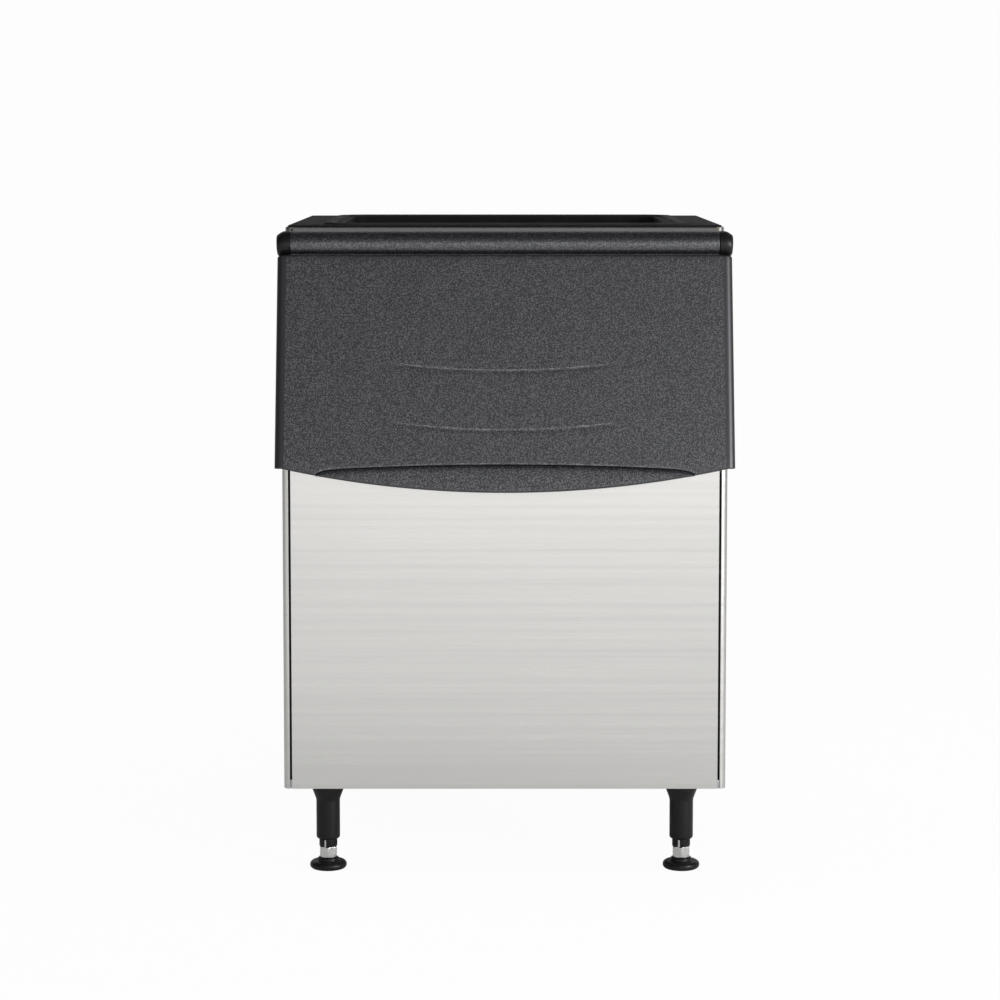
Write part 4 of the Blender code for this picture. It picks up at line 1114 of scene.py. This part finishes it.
def gasket_strip():
    edge = GASKET_HEIGHT / 3
    section = [(0, 0), (0, GASKET_HEIGHT - edge), (edge, GASKET_HEIGHT), (GASKET_WIDTH - edge, GASKET_HEIGHT)]
    section += [(GASKET_WIDTH, GASKET_HEIGHT - edge), (GASKET_WIDTH, 0)]
    bm = lofted([(drop_loop(GASKET_MARGIN + out), TOP_FACE + GAP + z) for out, z in section], joined=True)
    add_piece("gasket_strip", bm, RUBBER, "top_gasket", smooth=50)


def bulb_seal():
    """A door seal with a flat foot and two soft bulbs that meet the surround."""
    near = DOOR_BACK + GAP
    height = HINGE_STAND_OFF - GAP - near
    foot = height / 4
    bulb = SEAL_WIDTH / 4
    section = [(0.0, 0.0), (0.0, foot)]
    for centre in (bulb, SEAL_WIDTH - bulb):
        half_turn = arc((0, 0), 1.0, pi, 0, 8)
        section += [(centre + bulb * 0.94 * x, foot + (height - foot) * y) for x, y in half_turn]
    section += [(SEAL_WIDTH, foot), (SEAL_WIDTH, 0.0)]
    bm = lofted([(seal_loop(out), near + y) for out, y in section], "Y", joined=True)
    add_piece("bulb_seal", bm, RUBBER, "door_seal", "door", HINGE_PLACE, smooth=50)


# Inside


def floor_height(y):
    """The storage floor falls from the front to a level strip at the back."""
    start = FRONT + FACE_INNER
    stop = BACK - FACE_INNER - SUMP_DEPTH
    return SUMP_HEIGHT + LINER_WALL + FLOOR_FALL * min(max((stop - y) / (stop - start), 0.0), 1.0)


def tub_loop(height, wall, inset=0.0):
    """A level outline of the storage space, moved inward by an inset."""
    edge = INSULATION + wall
    low = (edge - HALF_WIDTH + inset, face_y(height, edge) + inset)
    high = (HALF_WIDTH - edge - inset, BACK - edge - inset)
    return rounded_rectangle(low, high, max(TUB_RADIUS - inset, MM), 12)


def storage_tub():
    """The moulded storage liner: round corners, a coved floor that falls to the drain, and a top flange."""
    top = TOP - GAP
    under = top - LINER_WALL
    knee = [KNEE_HEIGHT - TUB_RADIUS, KNEE_HEIGHT, KNEE_HEIGHT + TUB_RADIUS]
    levels = [(tub_loop(height, 0.0), height) for height in knee + [under]]
    levels += [(tub_loop(top, 0.0, -LINER_FLANGE), height) for height in (under, top)]
    inner = [top, TOP - DROP_SKIRT] + knee[::-1] + [KNEE_HEIGHT / 2]
    levels += [(tub_loop(height, LINER_WALL), height) for height in inner]
    rings = [[(x, y, floor_height(y) - LINER_WALL) for x, y in tub_loop(BASE, 0.0)]]
    rings += [[(*point, height) for point in outline] for outline, height in levels]
    for x, y in arc((0, 0), 1.0, 0, pi / 2, 8):
        outline = tub_loop(BASE, LINER_WALL, TUB_COVE * (1 - x))
        rings.append([(*point, floor_height(point[1]) + TUB_COVE * (1 - y)) for point in outline])
    last = rings[-1]
    middle_y = sum(point[1] for point in last) / len(last)
    for share in (0.85, 0.6, 0.35, 0.1):
        points = [(x * share, middle_y + (y - middle_y) * share) for x, y, _ in last]
        rings.append([(x, y, floor_height(y)) for x, y in points])
    bm = skin(rings)
    holes = bmesh.new()
    reach = (INSULATION - CUT_OVERRUN, FACE_INNER + CUT_OVERRUN)
    opening = opening_loop(FRAME_WALL + GAP)
    skin([[FACE_PLACE @ Vector((x, y, z)) for x, z in opening] for y in reach], bm=holes)
    drain = circle(DRAIN_RADIUS + GAP, 40, (0, DRAIN_Y))
    extruded(drain, "Z", SUMP_HEIGHT - CUT_OVERRUN, SUMP_HEIGHT + LINER_WALL + CUT_OVERRUN, bm=holes)
    add_piece("storage_tub", carve(bm, holes), LINER_WHITE, "liner", smooth=35)


def pan_outline(inset):
    """The outline of the door's hollow, with its sagging lower edge, moved inward by an inset."""
    corner = DOOR_CORNER - inset
    corner_x = HOLLOW_HALF - inset - corner
    high_z = -DOOR_TOP - DOOR_WALL - inset - corner
    reach = HOLLOW_RADIUS - inset - corner
    low_z = HOLLOW_CENTRE - sqrt(reach**2 - corner_x**2)
    swing = asin(corner_x / reach)
    points = arc((corner_x, high_z), corner, pi / 2, 0, 8)
    points += arc((corner_x, low_z), corner, 0, swing - pi / 2, 8)
    points += arc((0, HOLLOW_CENTRE), HOLLOW_RADIUS - inset, swing - pi / 2, -swing - pi / 2, 60)[1:-1]
    points += arc((-corner_x, low_z), corner, -swing - pi / 2, -pi, 8)
    return points + arc((-corner_x, high_z), corner, pi, pi / 2, 8)


def inner_pan():
    """The door's inner pan: a flat border for the seal, and a field pressed out inside it."""
    edge = DOOR_LINER_WALL / 3
    insets = ((0.0, DOOR_LINER_WALL), (0.0, edge), (edge * 0.3, edge * 0.3), (edge, 0.0))
    bm = lofted([(pan_outline(inset), DOOR_BACK - depth) for inset, depth in insets], "Y")
    field = []
    for x, y in arc((0, 0), 1.0, 0, pi / 2, 6):
        loop = seal_loop(-PAN_FIELD_MARGIN - PAN_FIELD_SLOPE * (1 - x))
        field.append((loop, DOOR_BACK - GAP + (PAN_FIELD_RISE + GAP) * y))
    lofted(field, "Y", bm=bm)
    add_piece("inner_pan", bm, LINER_WHITE, "door_liner", "door", HINGE_PLACE)


def hanging_baffle():
    """A hanging plate with a turned lower lip."""
    near = FACE_INNER + GAP
    far = near + BAFFLE_SHEET
    corners = [
        (near, BAFFLE_HIGH, 0),
        (near, BAFFLE_LOW, SHEET_BEND + BAFFLE_SHEET),
        (near + BAFFLE_LIP, BAFFLE_LOW, 0),
        (near + BAFFLE_LIP, BAFFLE_LOW + BAFFLE_SHEET, 0),
        (far, BAFFLE_LOW + BAFFLE_SHEET, SHEET_BEND),
        (far, BAFFLE_HIGH, 0),
    ]
    reach = (-BAFFLE_HALF, BAFFLE_HALF)
    bent_sheet("hanging_baffle", corners, 6, "X", reach, BRUSHED, "ice_baffle", FACE_PLACE)


def fluted_knob(word, side, sides=72):
    """A thumb knob with a fluted grip, and its stud through the liner."""
    seat = FACE_INNER + GAP + BAFFLE_SHEET + GAP
    edge = KNOB_HEIGHT / 6
    top = seat + KNOB_HEIGHT
    half = KNOB_RADIUS / 2
    profile = [
        (KNOB_STUD_RADIUS, FACE_INNER - KNOB_STUD_LENGTH, 0),
        (KNOB_STUD_RADIUS, seat, 0),
        (KNOB_RADIUS, seat, edge / 2),
        (KNOB_RADIUS, top, edge),
        (half, top, edge),
        (KNOB_RADIUS / 2.4, top - edge, 0),
        (edge, top - edge, 0),
    ]
    rings = []
    for radius, y in rounded(profile):
        flute = KNOB_FLUTE * min(max((radius - half) / half, 0.0), 1.0)
        ring = []
        for x, z in circle(1.0, sides):
            size = radius - flute * (0.5 + 0.5 * cos(KNOB_FLUTES * atan2(z, x)))
            ring.append((size * x, y, size * z))
        rings.append(ring)
    bm = skin(rings)
    where = FACE_PLACE @ Matrix.Translation((side * KNOB_X, 0, KNOB_RISE))
    name = "baffle_knob_" + word
    add_piece(name + "_fluted", bm, BLACK, name, matrix=where)


def drain_outlet(where, low, high):
    """A flanged outlet with a threaded tail; the flange lies between two heights."""
    tail = BASE - DRAIN_TAIL
    profile = [(DRAIN_RADIUS - DRAIN_THREAD, tail)]
    for k in range(round(DRAIN_TAIL / DRAIN_THREAD)):
        profile.append((DRAIN_RADIUS - DRAIN_THREAD * (k % 2), tail + DRAIN_THREAD * (k + 1)))
    flange = [
        (DRAIN_RADIUS, low, 0),
        (DRAIN_FLANGE_RADIUS, low, DRAIN_FLANGE / 4),
        (DRAIN_FLANGE_RADIUS, high, DRAIN_FLANGE / 2),
        (DRAIN_BORE, high, DRAIN_FLANGE / 2),
        (DRAIN_BORE, tail, 0),
    ]
    bm = turned(profile + rounded(flange), 48, joined=True)
    add_piece("drain_outlet", bm, BLACK, "drain_fitting", matrix=where, smooth=30)


def drain_nut(where):
    """A chamfered nut with a plain bore."""
    top = BASE - GAP
    low = top - DRAIN_NUT_HEIGHT
    levels = hexagon_levels(DRAIN_NUT_FLATS, low, top)
    scale = DRAIN_RADIUS + GAP
    bore = [(x / hypot(x, y) * scale, y / hypot(x, y) * scale) for x, y in levels[0][0]]
    bm = lofted(levels + [(bore, top), (bore, low)], joined=True)
    add_piece("drain_hexagon_nut", bm, BLACK, "drain_nut", matrix=where, smooth=28)


def drain_strainer(where, low):
    """A disc with round holes that lies on the outlet's flange."""
    top = low + STRAINER_SHEET
    edge = STRAINER_SHEET / 3
    disc = [(edge, low, 0), (STRAINER_RADIUS, low, edge), (STRAINER_RADIUS, top, edge), (edge, top, 0)]
    bm = turned(rounded(disc, 3), 64)
    holes = bmesh.new()
    for centre in [(0, 0)] + circle(STRAINER_RING / 2, STRAINER_HOLES):
        extruded(circle(STRAINER_HOLE, 20, centre), "Z", low - DRAIN_FLANGE, low + DRAIN_FLANGE, bm=holes)
    add_piece("pierced_strainer", carve(bm, holes), BRIGHT, "drain_strainer", matrix=where, smooth=28)


def drain():
    where = Matrix.Translation((0, DRAIN_Y, 0))
    low = SUMP_HEIGHT + LINER_WALL + GAP
    drain_outlet(where, low, low + DRAIN_FLANGE)
    drain_nut(where)
    drain_strainer(where, low + DRAIN_FLANGE + GAP)


# Door


def bottom_arc(x, inset=0.0):
    return ARC_RADIUS - DOOR_DROP - sqrt((ARC_RADIUS - inset) ** 2 - x**2)


def crease_line(x, drop):
    return CREASE_RADIUS - drop - sqrt(CREASE_RADIUS**2 - x**2)


def scoop_line(x):
    """The scoop's upper lip, which meets the lower edge in a blunt round end."""
    lower = bottom_arc(x)
    full = SCOOP_HEIGHT - DOOR_DROP - SCOOP_SAG * (x / SCOOP_TIP) ** 2 - lower
    return lower + full * sqrt(max(1 - abs(x / SCOOP_TIP) ** SCOOP_END_POWER, 0.0))


def eased_steps(length, first, count):
    """Steps from 0 to a length whose first one is short where the length allows."""
    power = max(1.0, log(length / first) / log(count)) if length > first else 1.0
    return [length * (k / count) ** power for k in range(count + 1)]


def row_heights(x):
    """Heights of the face's rows in one column, from the top edge down, as many for every column."""
    rows = [-DOOR_TOP - DOOR_TOP_EDGE]
    for drop, steps in zip(CREASE_DROPS, ROWS_ABOVE_CREASES):
        crease = crease_line(x, drop)
        start = rows[-1]
        rows += [start + (crease + CREASE_WIDTH - start) * (k + 1) / steps for k in range(steps)]
        rows += [crease - CREASE_WIDTH * down for down, _ in CREASE_PROFILE]
    bottom = bottom_arc(x, DOOR_LOW_EDGE)
    lip = max(scoop_line(x), bottom + 2 * MM)
    above = [lip + step for step in reversed(eased_steps(rows[-1] - lip, FIRST_ABOVE_LIP, ROWS_ABOVE_LIP))]
    below = [lip - step for step in eased_steps(lip - bottom, FIRST_BELOW_LIP, ROWS_BELOW_LIP)]
    return rows + above[1:] + below[1:]


def face_depth(x, z, y):
    """How far back the face lies at a point, with its creases, its belly and the scooped pull."""
    for drop in CREASE_DROPS:
        down = (crease_line(x, drop) - z) / CREASE_WIDTH if abs(x) < CREASE_HALF else -1.0
        if CREASE_PROFILE[0][0] < down < CREASE_PROFILE[-1][0]:
            fade = smooth_step((CREASE_HALF - abs(x)) / CREASE_RUN_OUT)
            y += CREASE_DEPTH * fade * spread(down, CREASE_PROFILE)
    height = z - bottom_arc(x)
    y += DOOR_BELLY * min(max(1 - height / DOOR_BELLY_HEIGHT, 0.0), 1.0) ** 2
    upper = scoop_line(x)
    if abs(x) < SCOOP_TIP and z < upper + SCOOP_ROUND:
        near = min(upper - z, SCOOP_TIP - abs(x))
        if upper - z < MM / 100:
            y += SCOOP_ROUND_DROP * max(1 - (z - upper) / SCOOP_ROUND, 0.0) ** 2
        else:
            y += SCOOP_FLOOR + (SCOOP_DEPTH - SCOOP_FLOOR) * exp(-near / SCOOP_FILLET)
    return y


def column_places():
    """Each column's place along the face and its share of the rolled side edge."""
    inner = DOOR_HALF - DOOR_EDGE
    places = [inner * k / FACE_COLUMNS for k in range(1, FACE_COLUMNS)]
    places += [SCOOP_TIP - MM * step for step in SCOOP_COLUMNS]
    right = [(x, 0.0) for x in sorted(places)]
    right += [(inner, cos(pi / 2 * k / SIDE_STEPS)) for k in range(SIDE_STEPS, -1, -1)]
    return [(-x, -side) for x, side in reversed(right)] + [(0.0, 0.0)] + right


def door_face(bm):
    """The face with its rounded edges; gives the vertices of its border in order."""
    grid = []
    for x, side in column_places():
        heights = row_heights(x)
        lean = x / (ARC_RADIUS - DOOR_LOW_EDGE)
        rows = [(heights[0], cos(pi / 2 * k / TOP_STEPS), (0.0, 1.0)) for k in range(TOP_STEPS)]
        rows += [(height, 0.0, (0.0, 0.0)) for height in heights]
        down = (lean, -sqrt(1 - lean**2))
        rows += [(heights[-1], sin(pi / 2 * k / LOW_STEPS), down) for k in range(1, LOW_STEPS + 1)]
        column = []
        for height, turn, (sideways, upward) in rows:
            across = side * sqrt(1 - turn**2 / 2)
            along = turn * sqrt(1 - side**2 / 2)
            edge = DOOR_TOP_EDGE if upward > 0 else DOOR_LOW_EDGE
            px = x + DOOR_EDGE * across + edge * sideways * along
            pz = height + edge * upward * along
            bulge = sqrt(max(1 - across**2 - along**2, 0.0))
            if side or turn:
                edge = (DOOR_EDGE * side**2 + edge * turn**2) / (side**2 + turn**2)
            column.append(bm.verts.new((px, face_depth(px, pz, edge * (1 - bulge) - ROLL_RADIUS), pz)))
        grid.append(column)
    bridge(grid, bm, closed=False)
    border = [column[0] for column in grid] + grid[-1][1:]
    return border + [column[-1] for column in reversed(grid[:-1])] + grid[0][-2:0:-1]


def door_walls(border, bm):
    """The undercut walls behind the face, the back edge, and the hollow for the foam and the pan."""
    start = DOOR_EDGE - ROLL_RADIUS
    side_low = bottom_arc(DOOR_HALF) + DOOR_EDGE
    low_part = (bottom_arc(0) - DOOR_TOP) * 0.8
    levels = [(start + (DOOR_BACK - BACK_ROUND - start) * share, 0.0) for share in (0.35, 0.7, 1.0)]
    levels += [(DOOR_BACK - BACK_ROUND * 0.3, BACK_ROUND * 0.3), (DOOR_BACK, BACK_ROUND)]
    rings = [border]
    for y, inset in levels:
        ring = []
        for x, _, z in [corner.co for corner in border]:
            drop_share = min(max((z + DOOR_TOP) / (side_low + DOOR_TOP), 0.0), 1.0)
            z += DOOR_UNDERCUT * (y - start) / (DOOR_BACK - start) * drop_share
            if abs(x) > DOOR_HALF - DOOR_EDGE:
                x -= copysign(inset, x)
            if z < low_part:
                z += inset
            elif z > -DOOR_TOP - DOOR_EDGE:
                z -= inset
            ring.append(bm.verts.new((x, y, z)))
        rings.append(ring)
    for y in (DOOR_BACK, DOOR_WALL - ROLL_RADIUS):
        ring = []
        for x, _, z in [corner.co for corner in border]:
            x = max(min(x, HOLLOW_HALF), -HOLLOW_HALF)
            low = HOLLOW_CENTRE - sqrt(HOLLOW_RADIUS**2 - x**2)
            ring.append(bm.verts.new((x, y, min(max(z, low), -DOOR_TOP - DOOR_WALL))))
        rings.append(ring)
    for near, far in zip(rings, rings[1:]):
        bridge([near, far], bm)
    bm.faces.new(rings[-1])


def door_roll(bm):
    """The hinge roll, and the neck that joins it to the panel."""
    ends = [(ROLL_RADIUS - ROLL_END_ROUND * cut, ROLL_HALF - ROLL_END_ROUND * back) for back, cut in ROLL_END]
    reach = ends[-1][1]
    middle = [(ROLL_RADIUS, -reach + 2 * reach * k / ROLL_STEPS) for k in range(1, ROLL_STEPS)]
    profile = [(radius, -x) for radius, x in ends] + middle + ends[::-1]
    turned(profile, 64, "X", bm=bm)
    back = DOOR_BACK - DOOR_WALL
    neck = [(-ROLL_HALF, -NECK_FRONT), (ROLL_HALF, -NECK_FRONT), (ROLL_HALF, back), (-ROLL_HALF, back)]
    extruded(neck, "Z", -DOOR_TOP - DOOR_WALL / 2, -ROLL_RADIUS / 2, bm=bm)


def door_moulding():
    bm = bmesh.new()
    door_walls(door_face(bm), bm)
    door_roll(bm)
    add_piece("door_moulding", bm, CHARCOAL, "door_shell", "door", HINGE_PLACE, smooth=50)


# Studio


def studio_floor():
    """A pale floor with a cove: white to the camera and to far reflections, and lit elsewhere."""
    outline = rounded(FLOOR_OUTLINE, 12)
    bm = skin([[(x, y, z) for y, z in outline] for x in (-FLOOR_HALF, FLOOR_HALF)], closed=False)
    material, tree, _ = new_finish("studio_floor", FLOOR_COLOUR, 0.9, 0.0, 0.1)
    surface = tree.nodes["Material Output"].inputs["Surface"]
    path = add_node(tree, "LightPath")
    y = add_node(tree, "SeparateXYZ", {0: add_node(tree, "NewGeometry")["Position"]})[1]
    far = remap(y, -1.0, -2.0, 0.0, 1.04)
    seen = plus(times(path["Is Camera Ray"], 0.96), times(path["Is Glossy Ray"], far))
    lit = surface.links[0].from_socket
    glow = add_node(tree, "Emission", {"Color": (1.0, 1.0, 1.0, 1.0), "Strength": 1.0})[0]
    link(add_node(tree, "MixShader", {0: seen, 1: lit, 2: glow})[0], surface)
    add_object("studio_floor", finished_mesh("studio_floor", bm, material))


def studio_world():
    """White to the camera, a soft sky for plain surfaces, and a low bright band for reflections."""
    world = bpy.data.worlds.new("studio")
    bpy.context.scene.world = world
    world.use_nodes = True
    tree = world.node_tree
    tree.nodes.clear()

    def backdrop(strength):
        return add_node(tree, "Background", {"Color": (*WHITE, 1.0), "Strength": strength})[0]

    path = add_node(tree, "LightPath")
    direction = add_node(tree, "TexCoord")["Generated"]
    side, back, rise = add_node(tree, "SeparateXYZ", {0: direction})
    band = plus(remap(rise, 0.26, 0.03, 0.0, 0.75), remap(rise, 0.85, 0.45, 0.04, 0.24))
    band = times(times(band, remap(back, -0.25, -0.8, 0.4, 1.0)), remap(side, -0.9, -0.35, 0.35, 1.0))
    sky = plus(remap(rise, 0.1, 0.8, 0.34, 0.62), remap(rise, 0.7, 0.95, 0.0, 0.5))
    lit = add_node(tree, "MixShader", {0: path["Is Glossy Ray"], 1: backdrop(sky), 2: backdrop(band)})[0]
    seen = maths("MAXIMUM", path["Is Camera Ray"], path["Is Transmission Ray"])
    mixed = add_node(tree, "MixShader", {0: seen, 1: lit, 2: backdrop(1.0)})[0]
    link(mixed, tree.nodes.new("ShaderNodeOutputWorld").inputs["Surface"])


def softbox(name, location, aim, size, radiance):
    data = bpy.data.lights.new(name, "AREA")
    data.shape = "RECTANGLE"
    data.size, data.size_y = size
    data.energy = radiance * pi * size[0] * size[1]
    lamp = add_object(name, data)
    lamp.location = location
    lamp.rotation_euler = (Vector(aim) - Vector(location)).to_track_quat("-Z", "Y").to_euler()


def photograph_camera():
    """The camera of the photograph: it looks slightly down at the front."""
    data = bpy.data.cameras.new("camera")
    data.sensor_width = SENSOR_WIDTH
    data.lens = SENSOR_WIDTH * FOCAL_PIXELS / IMAGE_SIZE
    data.shift_y = (AXIS_ROW - IMAGE_SIZE / 2) / IMAGE_SIZE
    camera = add_object("camera", data)
    camera.location = CAMERA_PLACE
    camera.rotation_euler = (pi / 2 - CAMERA_PITCH, 0, 0)
    bpy.context.scene.camera = camera


def dress():
    finish_solids()
    door_moulding()
    front_sheet()
    header_sheet()
    foam_block()
    for word, side in SIDES:
        side_sheet(word, side)
        hinge_bracket(word, side)
        fluted_knob(word, side)
    back_sheet()
    bottom_pan()
    door_surround()
    top_deck()
    gasket_strip()
    bulb_seal()
    storage_tub()
    inner_pan()
    hanging_baffle()
    legs()
    drain()
    hinge_screws()
    back_screws()


bpy.context.scene.view_settings.view_transform = "Standard"
dress()
studio_floor()
studio_world()
for values in SOFTBOXES:
    softbox(*values)
photograph_camera()
